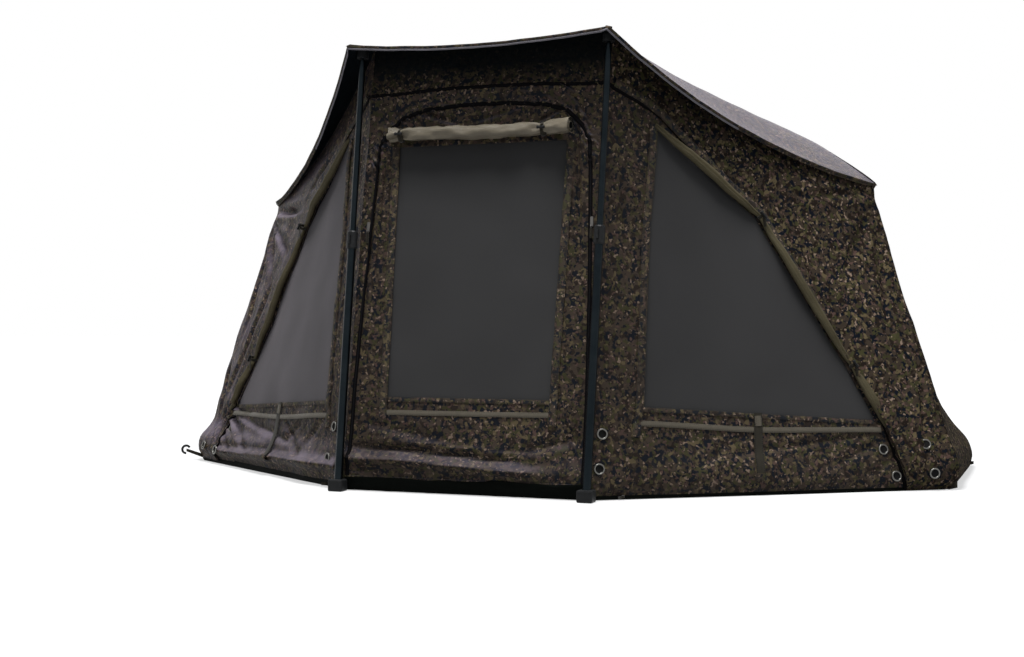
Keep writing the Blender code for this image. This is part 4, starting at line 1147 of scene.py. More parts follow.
def wall_rows():
    """The right side wall: the front return outside the zip, then round the corner to mid-gore."""
    left_edge = [outer for outer, _ in SIDE_SEAM] + [SEAM_TOP, (0.0, 1.0)]
    rows = []
    levels = (len(WALL_ROWS) - 1) * WALL_STEPS
    for level in range(levels + 1):
        run = level / levels
        start = between(left_edge, run)
        height = between([(row, 0.0) for row in WALL_ROWS], run)[0]
        row = []
        for n in range(GORE_STEPS + 1):
            along = n / GORE_STEPS
            share = start[0] + (1 - start[0]) * along
            level_here = start[1] + (height - start[1]) * along
            row.append(side_panel(share, level_here) + wall_lift(FLANK, share, level_here))
        if level == levels:
            row[0] = row[0] - (row[0] - side_panel(0.0, 0.0)).normalized() * NOTCH
        row += [hung(SIDE_GORE, n / GORE_STEPS, height) for n in range(1, GORE_STEPS // 2 + 1)]
        rows.append(row)
    return rows


def rear_rows():
    """The right rear wall: from the middle of the side gore to the middle of the back."""
    half = GORE_STEPS // 2
    columns = [(SIDE_GORE, n / GORE_STEPS) for n in range(half, GORE_STEPS + 1)]
    columns += [(REAR_GORE, n / GORE_STEPS) for n in range(1, half + 1)]
    levels = 5 * WALL_STEPS
    return [[hung(*column, level / levels) for column in columns] for level in range(levels + 1)]


def brow_rows():
    """The roof's front band between the right pole line and the middle, above the zip arch."""
    across, up = BROW_STEPS
    low = arch_points()
    lows = [between(low, n / across) for n in range(across + 1)]
    tops = [under_roof(FRONT_GORE, 0.5 + 0.5 * n / across) for n in range(across, -1, -1)]
    tops[0] = tops[0] - (tops[0] - low[0]).normalized() * NOTCH
    return [[a.lerp(b, level / up) for a, b in zip(lows, tops)] for level in range(up + 1)]


def flipped(rows):
    return [[mirror(point) for point in row] for row in rows]


def brow_folds(point):
    """The brow's folds, which die out at its top so that it stays under the roof."""
    return folds(point) * clamped((BROW_TOP - point.z) / BROW_FADE)


def wall_folds(point):
    """The walls' folds, which die out towards the roof, and the side walls' belly."""
    width = abs(point.x)
    fade_from = WALL_FADE_HEIGHT - WALL_FADE_DROP * min(1.0, width / WALL_FADE_OUT)
    fade = min(1.0, max(WALL_FOLDS_LEFT, (fade_from - point.z + WALL_FADE_LIFT) / WALL_FADE))
    belly = ease((point.y - BELLY_FROM) / BELLY_RISE) * ease((BELLY_TO - point.y) / BELLY_FALL)
    belly *= ease((width - BELLY_ASIDE) / BELLY_ASIDE_RUN)
    belly *= WALL_BELLY[1 if point.x > 0 else -1] * sin(pi * clamped(point.z / BELLY_TOP) ** 0.4)
    return folds(point) * fade + belly


def wall_pieces():
    """Side walls, rear walls and brow, each on the body that carries its CAD node."""
    for label, side in SIDES:
        turn = list if side > 0 else flipped
        wall = f"wall_{label}"
        parts = (
            ("side_cloth", open_mesh, wall_rows, wall, "wall_side", "wall_side", wall_folds, "side", 1.0),
            ("rear_cloth", open_mesh, rear_rows, wall, "wall_rear", "wall_rear", wall_folds, "rear", 1.0),
            ("brow_cloth", layered_mesh, brow_rows, "brow", "rib_front", "brow", brow_folds, "front", 0.0),
        )
        for name, mesh, rows, material, body, node, field, rib, share in parts:
            piece = cloth(f"{name}_{label}", mesh(turn(rows())), material, f"{body}_{label}",
                          [f"{node}_{label}"], field)
            fold_flat(piece)


# Front: centre, sides, door and windows

NET_BEHIND = 0.0045
NET_OVERLAP = 1.02
NET_STEP = 0.035


def door_outline():
    """Right-hand points of the door's zip, each with the panel seam's point that faces it."""
    zip_line = [centre_panel(*point) for point in (DOOR_FOOT, *DOOR_EDGE)]
    rising = [side_panel(0.0, height) for _, height in DOOR_EDGE[:DOOR_UPRIGHT]]
    return zip_line, [side_panel(0.0, 0.0), *rising, *arch_points()[:-1]]


def window_outline():
    """Right-hand points of the door's window."""
    low, high = centre_panel(*DOOR_WINDOW_BOTTOM), centre_panel(*DOOR_WINDOW_TOP)
    upright = [low.lerp(high, n / DOOR_UPRIGHT) for n in range(DOOR_UPRIGHT + 1)]
    return upright + [Vector((high.x * share, high.y, high.z)) for share in DOOR_WINDOW_TOP_SHARES]


def closed_loop(right_half):
    """A whole outline from its right half, listed from the bottom up."""
    return right_half + [mirror(point) for point in right_half[::-1]]


def filled(outline, surface):
    """A net that fills an outline given in a surface's own two coordinates."""
    bm = bmesh.new()
    points = []
    for first, second in zip(outline, [*outline[1:], outline[0]]):
        parts = max(1, round((second - first).length / NET_STEP))
        points += [first.lerp(second, n / parts) for n in range(parts)]
    bm.faces.new([bm.verts.new((*point, 0.0)) for point in points])
    for axis, normal in enumerate((RIGHT, Vector((0.0, 1.0, 0.0)))):
        place = min(point[axis] for point in points) + NET_STEP
        last = max(point[axis] for point in points) - NET_STEP / 3
        while place < last:
            everything = [*bm.verts, *bm.edges, *bm.faces]
            bmesh.ops.bisect_plane(bm, geom=everything, plane_co=normal * place, plane_no=normal)
            place += NET_STEP
    for v in bm.verts:
        v.co = surface(v.co.x, v.co.y)
    return bm


def widened(outline):
    """An outline grown a little about its middle."""
    middle = sum((Vector(point) for point in outline), Vector((0.0, 0.0))) / len(outline)
    return [middle + (Vector(point) - middle) * NET_OVERLAP for point in outline]


def net_folds(point):
    """Netting hangs straighter than the cloth round it, in soft upright waves."""
    wave = sin(point.x * 31.0 + point.y * 17.0 + 2.0 * noise.noise(point * 2.0))
    return folds(point) * 0.6 - NET_BEHIND + wave * 0.0018


def door_plane(x, height):
    """The plane of the centre panel, by its width and height in metres."""
    low, high = side_panel(0.0, 0.0), side_panel(0.0, 1.0)
    slope = (high.y - low.y) / (high.z - low.z)
    return Vector((x, low.y + (height - low.z) * slope, height))


def front_pieces():
    """The zipped front's cloth and nets, and the door with its net."""
    zip_line, seam = door_outline()
    window = closed_loop(window_outline())
    pairs = [*SIDE_HEM, *SIDE_SEAM, *SIDE_POLE_EDGE]
    edge, pane = ([Vector(pair[which]) for pair in pairs] for which in (0, 1))
    sheets = [
        ("front_cloth_centre", closed_loop(seam), closed_loop(zip_line), "front", "infill_centre"),
        ("door_cloth", closed_loop(zip_line), window, "door", "door_panel"),
    ]
    for name, outer, inner, body, node in sheets:
        cloth(name, open_mesh(ring_surface(outer, inner)), "front", body, [node])
    net = filled(widened([(point.x, point.z) for point in window]), door_plane)
    cloth("door_net", net, "net", "door", ["door_mesh"], net_folds, NET)
    for label, side in SIDES:
        rows = ring_surface(edge, pane, lambda at: PANELS[side](*at))
        material = f"front_{label}"
        cloth(f"front_cloth_{label}", open_mesh(rows), material, "front", [f"infill_{label}"])
        net = filled(widened(pane), PANELS[side])
        cloth(f"window_net_{label}", net, "net", "front", [f"window_mesh_{label}"],
              net_folds, NET)


# Trims: zips, storm flaps, hems, tapes and straps

ZIP_STEPS = 90
# The black hem tape's width by side. On the left it is widened as painted shade for the tucked skirt's
# shaded underside
HEM_TAPE_AND_SHADE = {1: 0.012, -1: 0.026}
PANEL_HEIGHT = 1.15
WINDOW_HEM = (
    (0.120, 0.135),
    SIDE_HEM[0][1],
    *(inner for _, inner in SIDE_POLE_EDGE[::-1]),
    SIDE_SEAM[-1][1],
)
WINDOW_SILL = (*(inner for _, inner in SIDE_HEM), SIDE_SEAM[0][1])


def front_zips(label, side):
    """The zip between the front and a side wall, and the storm flap over it."""
    seam = [SEAM_TOP, *(outer for outer, _ in SIDE_SEAM[::-1])]
    zip_line, flap = [], []
    for n in range(ZIP_STEPS + 1):
        run = n / ZIP_STEPS
        at = between(seam, run)
        aside = 0.009 * ease((run - 0.12) / 0.1) * ease((1 - run) / 0.2)
        zip_line.append(on_side(side, at[0] + aside, at[1] + aside * 0.6, 0.0010))
        at = between(seam, 0.02 + 0.98 * n / ZIP_STEPS)
        flap.append(on_side(side, at[0] + 0.013, at[1] + 0.012, 0.0030))
    ribbon(f"front_zip_{label}", zip_line, (0.013, 0.0022), "zip", "front", "zip_metal", crown=0.6)
    cover = ribbon(f"front_zip_flap_{label}", flap, (0.026, 0.0028), "hem", f"wall_side_{label}",
                   "camo_fabric", crown=0.7)
    fold_flat(cover)


def straight(side, start, by, steps, lift, sag=0.0):
    """A line over one side panel's cloth from a start, so far in share and height."""
    line = []
    for n in range(steps + 1):
        run = n / steps
        height = start[1] + by[1] * run - sag * sin(pi * run) ** 2
        line.append(on_side(side, start[0] + by[0] * run, height, lift))
    return line


def side_trims(label, side):
    """The window's hem and sill, the pale tape, the strap and the hem's black tape."""
    low, high = STRAP_HEIGHTS
    foot = (0.02, HEM_TAPE_AND_SHADE[side] / (2 * PANEL_HEIGHT))
    trims = (
        ("window_hem", side_line(side, WINDOW_HEM, 60, 0.0014), (0.026, 0.0030),
         "hem", "camo_fabric", 0.8, 0),
        ("window_sill", side_line(side, WINDOW_SILL, 50, 0.0008), (0.014, 0.0014), "hem", "camo_fabric"),
        ("pale_tape", straight(side, (0.118, 0.164), (0.709, 0.014), 60, 0.0020, 0.008), (0.016, 0.0016),
         "strip", "webbing", CROWN, 3),
        ("webbing_strap", straight(side, (STRAP_AT, low), (0.014, high - low), 24, 0.0050),
         (0.027, 0.0018), "strap", "webbing", CROWN, 12),
        ("strap_patch", straight(side, (STRAP_AT, low - 0.006), (0.0, 0.020), 6, 0.0064),
         (0.036, 0.0014), "hem", "webbing", CROWN, 4),
        ("strap_keeper", straight(side, (STRAP_AT + 0.012, 0.172), (0.0, 0.026), 6, 0.0066),
         (0.020, 0.0016), "strip", "webbing", CROWN, 4),
        ("hem_tape", straight(side, foot, (0.965, 0.0), 80, 0.0012), (HEM_TAPE_AND_SHADE[side], 0.0012),
         "flap", "black_plastic", CROWN, 1),
    )
    for name, line, size, material, slot, *shape in trims:
        crown, passes = shape or (CROWN, 0)
        ribbon(f"{name}_{label}", line, size, material, "front", slot, crown=crown, passes=passes)
    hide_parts(f"strap_{label}")


def over_the_top(half, top, side):
    """A line of stops from one side over the top to the other, from its right half."""
    there = [(side * share, height) for share, height in half]
    return [*there, top, *((-share, height) for share, height in there[::-1])]


def centre_trims():
    """The arch's and the door's zips, the door's hems and sill, and its pale tape."""
    arch = over_the_top([(1.0, SEAM_TOP[1]), *ARCH], ARCH_TOP, -1)
    door = over_the_top([DOOR_FOOT, *DOOR_EDGE], DOOR_TOP, 1)
    trims = [
        ("arch_zip", centre_line(arch, 80, 0.0006), (0.011, 0.0012), "zip", "front", "zip_metal", 0.3),
        ("door_zip", centre_line(door, 200, 0.0006), (0.013, 0.0014), "zip", "front", "zip_metal", 0.3),
    ]
    base, sill = DOOR_WINDOW_BOTTOM
    window = [(base - 0.005, 0.150), DOOR_WINDOW_BOTTOM, DOOR_WINDOW_TOP]
    for label, side in SIDES:
        stops = [between(window, n / 60) for n in range(61)]
        line = [on_centre(side * (stop[0] + 0.022), stop[1], 0.0014) for stop in stops]
        trims.append((f"door_hem_{label}", line, (0.026, 0.0030), "hem", "door", "camo_fabric", 0.8))
    line = [on_centre(base * (n / 15 - 1), sill, 0.0008) for n in range(31)]
    trims.append(("door_sill", line, (0.014, 0.0014), "hem", "door", "camo_fabric", CROWN))
    line = [on_centre(base * 1.01 * (n / 15 - 1), 0.1712 + 0.002 * (n / 30), 0.0012) for n in range(31)]
    trims.append(("pale_tape_door", line, (0.015, 0.0014), "strip", "door", "webbing", CROWN))
    for *make_up, crown in trims:
        ribbon(*make_up, crown=crown)


def trim_pieces():
    """Zips, storm flaps, window hems, pale tapes, straps and the mud flap."""
    for label, side in SIDES:
        front_zips(label, side)
        side_trims(label, side)
    centre_trims()
    mud_flap()


FLAP_HALF_WIDTH = 0.97
FLAP_HEIGHT = 0.030
FLAP_STEPS = (80, 8)


def mud_flap():
    """The black flap along the foot of the front, which curls out on the ground."""
    across_steps, down_steps = FLAP_STEPS
    shares = [between([(-FLAP_HALF_WIDTH, 0), (FLAP_HALF_WIDTH, 0)], n / across_steps)[0]
              for n in range(across_steps + 1)]
    rows = []
    for level in range(down_steps + 1):
        run = level / down_steps
        row = []
        for share in shares:
            sway = 0.0050 * noise.noise(Vector((share * 3.5, 0.3, 1.7)))
            height = max(FLAP_HEIGHT * (1 - run) + sway * (1 - run), 0.001)
            point, normal = on_centre(share, height, 0.0030 + 0.004 * run ** 2)
            point.z = max(0.0022, point.z + 0.0015 * noise.noise(Vector((share * 9, run * 2, 0))))
            row.append(point + normal * (0.0030 * noise.noise(Vector((share * 14, run * 3, 4.0)))))
        rows.append(row)
    bm = open_mesh(rows)
    face_outwards(bm)
    flap = thicken(finish_piece("mud_flap", bm, "flap", "front"), 0.0012)
    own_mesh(flap)


# Rolled covers

DOOR_TIES = (-0.258, 0.205)
DOOR_ROLL_RADIUS = 0.0232
DOOR_ROLL_LIFT = 0.0262
DOOR_ROLL_STEPS = 60
DOOR_TIE_RADIUS = 0.0192
SIDE_TIES = (0.40, 0.80)
SIDE_ROLL_LINE = (
    (0.182, 0.862), (0.36, 0.812), (0.543, 0.745), (0.665, 0.560), (0.776, 0.374), (0.845, 0.200),
)
SIDE_ROLL_RADIUS = 0.0155
SIDE_ROLL_DROP = 0.012
SIDE_ROLL_LIFT = 0.004
SIDE_ROLL_STEPS = 96
SIDE_TIE_LIFT = 0.0085
SIDE_TIE_RADIUS = 0.0098
COVER_THICKNESS = 0.0006
STEPS_PER_TURN = 22
TIE_WIDTH = 0.010
# A toggle's outline: radius and height
TOGGLE = (
    (0.0, 0.0), (0.0040, 0.0), (0.0052, 0.002), (0.0036, 0.009),
    (0.0036, 0.015), (0.0052, 0.022), (0.0040, 0.024), (0.0, 0.024),
)
TOGGLE_SIDES = 14


def squared(out, along):
    """A direction made square to a roll's own, and the third one."""
    out = (out - along * out.dot(along)).normalized()
    return out, along.cross(out)


def rolled(name, path, radius, turns, material, body, node, core, start=0.0, flat=1.0, loose=1.0):
    """A cover wound round itself from its core out: path is a list of (centre, outward, share)."""
    rows = []
    last = len(path) - 1
    steps = int(turns * STEPS_PER_TURN)
    for n, (centre, out, run) in enumerate(path):
        along = (path[min(n + 1, last)][0] - path[max(n - 1, 0)][0]).normalized()
        out, up = squared(out, along)
        row = []
        for m in range(steps + 1):
            wound = m / steps
            turn = start + 2 * pi * turns * wound
            size = radius(run, turn) * (core + (1 - core) * wound ** loose)
            row.append(centre + out * (cos(turn) * size * flat) + up * (sin(turn) * size))
        rows.append(row)
    cover = finish_piece(name, open_mesh(rows), material, body, [node])
    thicken(cover, COVER_THICKNESS, "lining")


def tie(name, centre, along, out, radius, body, tail):
    """A black webbing tie round a roll, with a toggle and a loose end."""
    along = along.normalized()
    out, up = squared(out, along)
    normals = [out * cos(2 * pi * n / 24) + up * sin(2 * pi * n / 24) for n in range(24)]
    loop = [(centre + normal * radius, normal) for normal in normals]
    ribbon(f"{name}_loop", loop, (TIE_WIDTH, 0.0018), "strap", body, "webbing", closed=True)

    base = centre + out * (radius + 0.006) - along * 0.012
    toggle = bmesh.new()
    bridge(toggle, [
        circle(toggle, base + along * height, out, up, size, TOGGLE_SIDES) for size, height in TOGGLE
    ])
    bmesh.ops.remove_doubles(toggle, verts=toggle.verts, dist=0.00002)
    bmesh.ops.recalc_face_normals(toggle, faces=toggle.faces)
    finish_piece(f"{name}_toggle", toggle, "plastic", body)

    drop = []
    for n in range(9):
        run = n / 8
        lift = out * (radius * (1 - 0.5 * run) + 0.003)
        point = centre + lift - up * (radius * 0.4) + along * (0.010 * run)
        drop.append((point - UP * (tail * run), out))
    ribbon(f"{name}_tail", drop, (TIE_WIDTH, 0.0012), "strap", body, "webbing")


def bell(away, width):
    """1 in the middle, falling off both ways."""
    return exp(-((away / width) ** 2))


def door_roll():
    """The door's rolled cover with its two ties: pinched there, slack elsewhere."""
    share, height = DOOR_ROLL_END
    pole_x = side_panel(0.0, height).x
    half = share * pole_x

    def radius(run, turn):
        x = half * (2 * run - 1)
        pinch = sum(0.30 * bell(x - at, 0.016) for at in DOOR_TIES)
        slack = 0.26 * noise.noise(Vector((x * 17, cos(turn) * 1.4, sin(turn) * 1.4)))
        slack += 0.16 * noise.noise(Vector((x * 48, cos(turn) * 2.5, sin(turn) * 2.5)))
        slack += 0.10 * ease((run - 0.90) / 0.10)
        gathered = sum(bell(x - at, 0.050) for at in DOOR_TIES)
        slack += 0.10 * gathered * sin(5 * turn + x * 60)
        twist = 0.30 * bell(run - 0.05, 0.09) * sin(4 * turn + 30 * run)
        belly = 0.08 * max(0.0, -sin(turn))
        return DOOR_ROLL_RADIUS * (1 - pinch + slack + twist + belly)

    path = []
    for n in range(DOOR_ROLL_STEPS + 1):
        run = n / DOOR_ROLL_STEPS
        x = half * (2 * run - 1)
        loose_end = 0.024 * max(0.0, (run - 0.88) / 0.12) ** 1.6
        place = on_centre(x / pole_x, height + 0.0015 * sin(9 * run), DOOR_ROLL_LIFT + loose_end)
        path.append((*place, run))
    rolled("door_cover", path, radius, 7.0, "roll", "door", "door_cover_roll",
           core=0.42, start=0.9, loose=3.5)
    for label, x in zip(("left", "right"), DOOR_TIES):
        centre, out = on_centre(x / pole_x, height, DOOR_ROLL_LIFT)
        tie(f"door_tie_{label}", centre, RIGHT, out, DOOR_TIE_RADIUS, "door", tail=0.028)


def side_roll(label, side):
    """A side window's rolled cover, fat between its ties and thin at them."""
    ends = (0.0, *SIDE_TIES, 1.0)

    def radius(run, turn):
        low = max(end for end in ends if end <= run + 1e-9)
        high = min((end for end in ends if end > low + 1e-9), default=1.0)
        part = clamped((run - low) / max(high - low, 1e-6))
        fat = 0.42 + 0.58 * max(0.0, sin(pi * part)) ** 0.8
        slack = 0.10 * noise.noise(Vector((run * 26, cos(turn), sin(turn) + side)))
        lip = 0.34 * bell((turn + pi) % (2 * pi) - pi - 0.10, 0.26)
        return SIDE_ROLL_RADIUS * (fat + slack - lip)

    path = []
    for n in range(SIDE_ROLL_STEPS + 1):
        run = n / SIDE_ROLL_STEPS
        share, height = between(SIDE_ROLL_LINE, run)
        lift = SIDE_ROLL_LIFT + radius(run, 0.0)
        path.append((*on_side(side, share, height - SIDE_ROLL_DROP, lift), run))
    if side < 0:
        places = [place for *place, _ in path[::-1]]
        path = [(*place, 1 - n / SIDE_ROLL_STEPS) for n, place in enumerate(places)]
    rolled(f"window_cover_cloth_{label}", path, radius, 8.0, "side_roll", "front", f"window_cover_{label}",
           core=0.35, start=0.4, flat=0.75)
    for number, run in enumerate(SIDE_TIES):
        share, height = between(SIDE_ROLL_LINE, run)
        lift = SIDE_ROLL_LIFT + SIDE_TIE_LIFT
        centre, out = on_side(side, share, height - SIDE_ROLL_DROP, lift)
        ahead, behind = (on_side(side, *between(SIDE_ROLL_LINE, run + step))[0] for step in (0.03, -0.03))
        name = f"window_tie_{label}_{number}"
        tie(name, centre, ahead - behind, out, SIDE_TIE_RADIUS, "front", tail=0.03)


def roll_pieces():
    """The door's and the side windows' rolled covers, tied in place."""
    door_roll()
    for label, side in SIDES:
        side_roll(label, side)


# Eyelets, peg loops and pullers

# Share and height on a side panel, and whether the eyelet is in the front or in the wall
SIDE_EYELETS = (
    (0.028, 0.138, "front"),
    (0.022, 0.065, "front"),
    (0.821, 0.120, "front"),
    (0.843, 0.042, "front"),
    (0.936, 0.130, "wall"),
    (0.946, 0.052, "wall"),
)
LEFT_EYELET_SHIFT = (0.050, 0.060, 0.0, 0.0, 0.0, 0.0)
EYELET_LIFT = 0.0022
EYELET_RADIUS = 0.0140
EYELET_THICK = 0.0026
EYELET_SIDES = 24
# The eyelet's hole as a near-black disc, painted shade for the dark inside seen through it: radii and
# heights
EYELET_HOLE_SHADE = ((0.0138, 0.0022), (0.0120, 0.0010), (0.0060, 0.0006))

# Width, reach and rise of a peg loop. The left corner's is the elastic
LOOP = (0.008, 0.046, 0.004)
SHORT_LOOP = (0.008, 0.036, 0.004)
WIDE_LOOP = (0.020, 0.046, 0.010)
ELASTIC = (0.009, 0.078, 0.030)
# Peg loops on the right: place, way out, the kind of wall and rib, and the right and left shapes
PEG_LOOPS = (
    ("corner", SIDE_CORNER, (0.75, -0.66), "side", {1: WIDE_LOOP, -1: ELASTIC}),
    ("back", SIDE_BACK_CORNER, (0.80, 0.35), "side", {1: SHORT_LOOP, -1: SHORT_LOOP}),
    ("rear", REAR_CORNER, (0.55, 0.83), "rear", {1: SHORT_LOOP, -1: SHORT_LOOP}),
    ("front", (0.470, 0.082), (0.60, -0.80), None, {1: LOOP, -1: LOOP}),
)
LOOP_INSET = 0.024
LOOP_HALF_WIDTH = 0.011
LOOP_HEIGHT = 0.008
HOOK_OUT = 0.052
HOOK_HEIGHT = 0.040
HOOK_RADIUS = 0.010
PULL_DROP = 0.006


def laid_on(piece, point, facing, lift):
    """The nearest point of a finished piece to a given one, and the way that it faces."""
    faces = [tuple(polygon.vertices) for polygon in piece.data.polygons]
    tree = BVHTree.FromPolygons([v.co for v in piece.data.vertices], faces)
    place, normal, _, _ = tree.find_nearest(point + SHIFT)
    if normal.dot(facing) < 0:
        normal = -normal
    return place - SHIFT + normal * lift, normal


def eyelet(name, centre, normal, body, number=None):
    """A pressed ring, with a near-black disc in it as the hole's painted shade."""
    bm = bmesh.new()
    torus_mesh(bm, centre + normal * 0.0014, normal, EYELET_RADIUS, EYELET_THICK)
    ring = finish_piece(f"{name}_ring", bm, "gunmetal", body)
    bm = bmesh.new()
    x_axis = normal.orthogonal().normalized()
    y_axis = normal.cross(x_axis)
    rims = [
        circle(bm, centre + normal * lift, x_axis, y_axis, size, EYELET_SIDES)
        for size, lift in EYELET_HOLE_SHADE
    ]
    bridge(bm, rims)
    bm.faces.new(rims[-1])
    bmesh.ops.recalc_face_normals(bm, faces=bm.faces)
    hole = finish_piece(f"{name}_hole", bm, "dark", body)
    if number is not None:
        fold_flat(ring)
        fold_flat(hole)


def peg_loop(name, corner, out, body, number, shape):
    """A loop of webbing on edge, sewn to the hem's corner, for a peg."""
    width, reach, lift = shape
    out = out.normalized()
    side = UP.cross(out)
    line = []
    for n in range(25):
        turn = pi * n / 24
        ahead = reach * sin(turn) - LOOP_INSET
        aside = LOOP_HALF_WIDTH * cos(turn) * (0.4 + 0.6 * sin(turn))
        rise = LOOP_HEIGHT + lift * sin(turn) + 0.002 * cos(turn)
        point = Vector((corner.x, corner.y, rise)) + out * ahead + side * aside
        slope = out * (reach * cos(turn)) - side * (LOOP_HALF_WIDTH * sin(turn))
        line.append((point, slope.cross(UP).normalized()))
    loop = ribbon(name, line, (width, 0.0016), "strap", body, "webbing")
    if number is not None:
        fold_flat(loop)


def hook(name, place, out, body):
    """The curved hook at the end of an elastic."""
    out = out.normalized()
    line = []
    for n in range(25):
        turn = pi * (1.35 * n / 24 - 0.5)
        point = place + out * (HOOK_RADIUS * cos(turn) + 0.003) + UP * (HOOK_RADIUS * sin(turn))
        line.append((point, out * cos(turn) + UP * sin(turn)))
    fold_flat(ribbon(name, line, (0.007, 0.0060), "plastic", body, "black_plastic"))


def eyelets(label, side):
    """A side's eyelets: those in the wall lie on its finished cloth and fold with it."""
    for number, (share, height, where) in enumerate(SIDE_EYELETS):
        share += LEFT_EYELET_SHIFT[number] if side < 0 else 0.0
        centre, normal = on_side(side, share, height, EYELET_LIFT)
        body, rib = "front", None
        if where == "wall":
            body, rib = f"wall_side_{label}", rib_number("side", side)
            wall = bpy.data.objects[f"side_cloth_{label}"]
            centre, normal = laid_on(wall, centre, normal, EYELET_LIFT)
        eyelet(f"eyelet_{label}_{number}", centre, normal, body, rib)


def peg_loops(label, side):
    """A side's peg loops. The left corner's is an elastic with a hook."""
    for where, corner, out, kind, shapes in PEG_LOOPS:
        body = f"wall_{kind}_{label}" if kind else "front"
        number = rib_number(kind, side) if kind else None
        place, way = Vector((*corner, 0.0)), Vector((*out, 0.0))
        if side < 0:
            place, way = mirror(place), mirror(way)
        peg_loop(f"peg_loop_{where}_{label}", place, way, body, number, shapes[side])
        if shapes[side] is ELASTIC:
            end = place + way.normalized() * HOOK_OUT + UP * HOOK_HEIGHT
            hook("elastic_hook", end, way, body)


def puller(label):
    """The door zip's puller: a small ring and a webbing tab below the slider."""
    low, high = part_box(f"zip_slider_{label}")
    body = f"zip_slider_{label}"
    top = Vector(((low.x + high.x) / 2, low.y, low.z + PULL_DROP)) - SHIFT
    bm = bmesh.new()
    torus_mesh(bm, top - UP * PULL_DROP - Vector((0, 0.0015, 0)), RIGHT, 0.0045, 0.0008, 16, 8)
    finish_piece(f"zip_ring_{label}", bm, "zip_metal", body)
    forward = Vector((0.0, -1.0, 0.0))
    line = [(top + Vector((0.0, -0.0022, -0.009 - 0.030 * n / 8)), forward) for n in range(9)]
    ribbon(f"zip_tab_{label}", line, (0.008, 0.0026), "strap", body, "zip_metal", crown=0.4)


def fitting_pieces():
    """Eyelets, peg loops and zip pullers, one side after the other."""
    for label, side in SIDES:
        eyelets(label, side)
        peg_loops(label, side)
        puller(label)


# CAD nodes that stay: only their finish changes

# Each material's nodes, by name or by the start of it
FINISHES = {
    "plastic": ("hub_boss", "hub_cap", "tube_end_plug", "runner", "pole_collar_", "pole_foot_",
                "peak_socket_"),
    "steel": ("rib_ring", "runner_button"),
    "pole": ("centre_tube", "strut_", "pole_lower_", "pole_upper_"),
    "rod": ("rib_front_", "rib_side_", "rib_rear_"),
    "zip_metal": ("zip_slider_",),
}


def dress_nodes():
    """Gives every CAD node that shows its material."""
    for name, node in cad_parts.items():
        for material, starts in FINISHES.items():
            if any(name == start or start.endswith("_") and name.startswith(start) for start in starts):
                node.data.materials.clear()
                node.data.materials.append(MATERIALS[material])


# Floor, light and camera

WHITE = (1.0, 1.0, 1.0, 1.0)
FLOOR_HALF = 30.0
FLOOR_CELLS = 24
FLOOR_COLOUR = (0.34, 0.34, 0.34, 1.0)
# The floor's own brightness where it is seen: less near the shelter, so that its shadow shows
GLOW_NEAR = 0.56
GLOW_FAR = 0.86
GLOW_REACH = (1.3, 3.2)
SKY_COLOUR = (0.93, 0.96, 1.0, 1.0)
SKY_LOW = 0.21
SKY_HIGH = 0.68
LAMP_AT = (0.4, -1.6, 5.8)
LAMP_TOWARDS = (0.0, 0.0, 0.5)
LAMP_SIZE = 2.2
LAMP_POWER = 460.0


def placed(name, data):
    """A new object in the scene."""
    made = bpy.data.objects.new(name, data)
    bpy.context.scene.collection.objects.link(made)
    return made


def point_at(thing, way):
    """Turns a lamp or a camera to look along a direction."""
    thing.rotation_mode = "QUATERNION"
    thing.rotation_quaternion = way.to_track_quat("-Z", "Y")


def where_seen(tree, plain, seen):
    """One shader for light that falls on things, another where the background itself shows:
    straight, by reflection or through glass."""
    path = add_node(tree, "LightPath").outputs
    rays = path["Is Camera Ray"]
    for name in ("Is Glossy Ray", "Is Transmission Ray"):
        rays = add_node(tree, "Math", {0: rays, 1: path[name]}, operation="MAXIMUM").outputs[0]
    return add_node(tree, "MixShader", {0: rays, 1: plain, 2: seen}).outputs[0]


def spread(tree, value, limits):
    """A value spread over a range, given as the node's own input names and their numbers."""
    return add_node(tree, "MapRange", {"Value": value, **limits}).outputs["Result"]


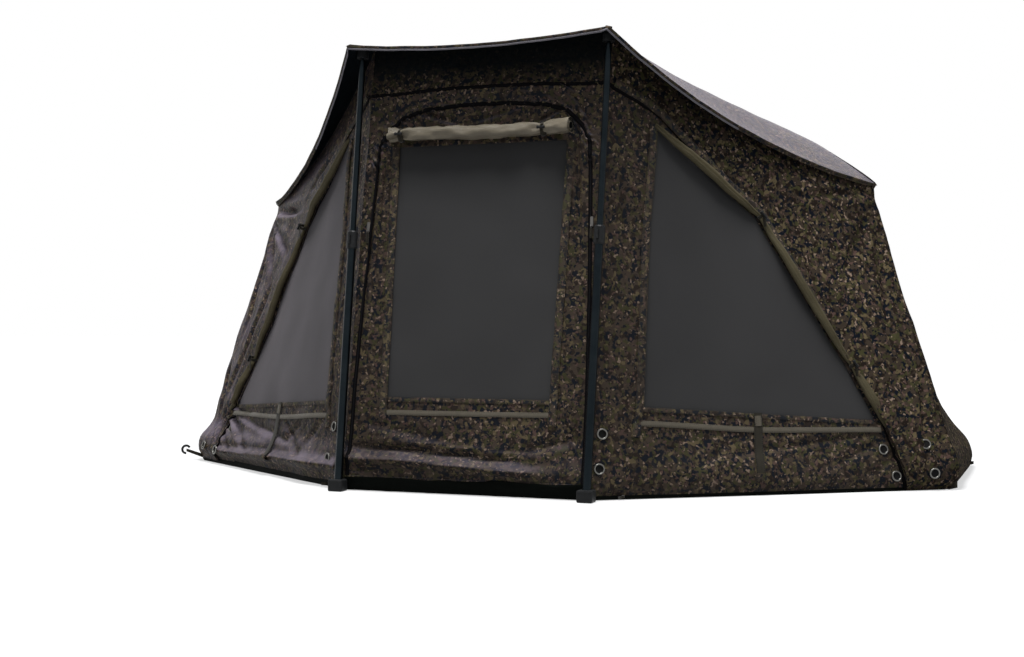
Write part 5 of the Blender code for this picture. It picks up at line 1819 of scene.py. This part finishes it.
def make_floor():
    """A large pale floor that keeps the shelter's shadow."""
    bm = bmesh.new()
    bmesh.ops.create_grid(bm, x_segments=FLOOR_CELLS, y_segments=FLOOR_CELLS, size=FLOOR_HALF)
    data = bpy.data.meshes.new("floor")
    bm.to_mesh(data)
    bm.free()
    floor = placed("floor", data)
    material = bpy.data.materials.new("floor")
    material.use_nodes = True
    tree = material.node_tree
    tree.nodes.clear()
    diffuse = add_node(tree, "BsdfDiffuse", {"Color": FLOOR_COLOUR}).outputs[0]
    place = add_node(tree, "TexCoord").outputs["Object"]
    away = add_node(tree, "VectorMath", {0: place}, operation="LENGTH").outputs["Value"]
    near, far = GLOW_REACH
    limits = {"From Min": near, "From Max": far, "To Min": GLOW_NEAR, "To Max": GLOW_FAR}
    glow = add_node(tree, "Emission", {"Strength": spread(tree, away, limits)}).outputs[0]
    both = add_node(tree, "AddShader", {0: diffuse, 1: glow}).outputs[0]
    add_node(tree, "OutputMaterial", {"Surface": where_seen(tree, diffuse, both)})
    data.materials.append(material)


def make_world():
    """White where it is seen, and a plain soft sky for the light, brighter overhead."""
    world = bpy.data.worlds.new("studio")
    world.use_nodes = True
    tree = world.node_tree
    tree.nodes.clear()
    way = add_node(tree, "TexCoord").outputs["Generated"]
    up = add_node(tree, "SeparateXYZ", {0: way}).outputs["Z"]
    strength = spread(tree, up, {"To Min": SKY_LOW, "To Max": SKY_HIGH})
    sky = add_node(tree, "Background", {"Color": SKY_COLOUR, "Strength": strength}).outputs[0]
    white = add_node(tree, "Background", {"Color": WHITE}).outputs[0]
    add_node(tree, "OutputWorld", {"Surface": where_seen(tree, sky, white)})
    bpy.context.scene.world = world


def make_lamp():
    """One large soft lamp above the front."""
    data = bpy.data.lights.new("overhead", "AREA")
    data.shape = "DISK"
    data.size = LAMP_SIZE
    data.energy = LAMP_POWER
    lamp = placed("overhead", data)
    lamp.location = LAMP_AT
    point_at(lamp, Vector(LAMP_TOWARDS) - Vector(LAMP_AT))


def make_camera():
    """The photograph's own camera: its place, its direction and its field of view."""
    data = bpy.data.cameras.new("camera")
    data.sensor_width = SENSOR_WIDTH
    data.sensor_fit = "HORIZONTAL"
    data.lens = SENSOR_WIDTH * FOCAL_PIXELS / PHOTO_WIDTH
    data.clip_end = 200.0
    camera = placed("camera", data)
    camera.location = CAMERA_AT + SHIFT
    level = cos(CAMERA_PITCH)
    point_at(camera, Vector((sin(CAMERA_YAW) * level, cos(CAMERA_YAW) * level, sin(CAMERA_PITCH))))
    bpy.context.scene.camera = camera


make_camera()
make_world()
make_floor()
make_lamp()

roof_pieces()
wall_pieces()
front_pieces()
trim_pieces()
roll_pieces()
fitting_pieces()
dress_nodes()

bpy.context.scene.view_settings.view_transform = "Standard"
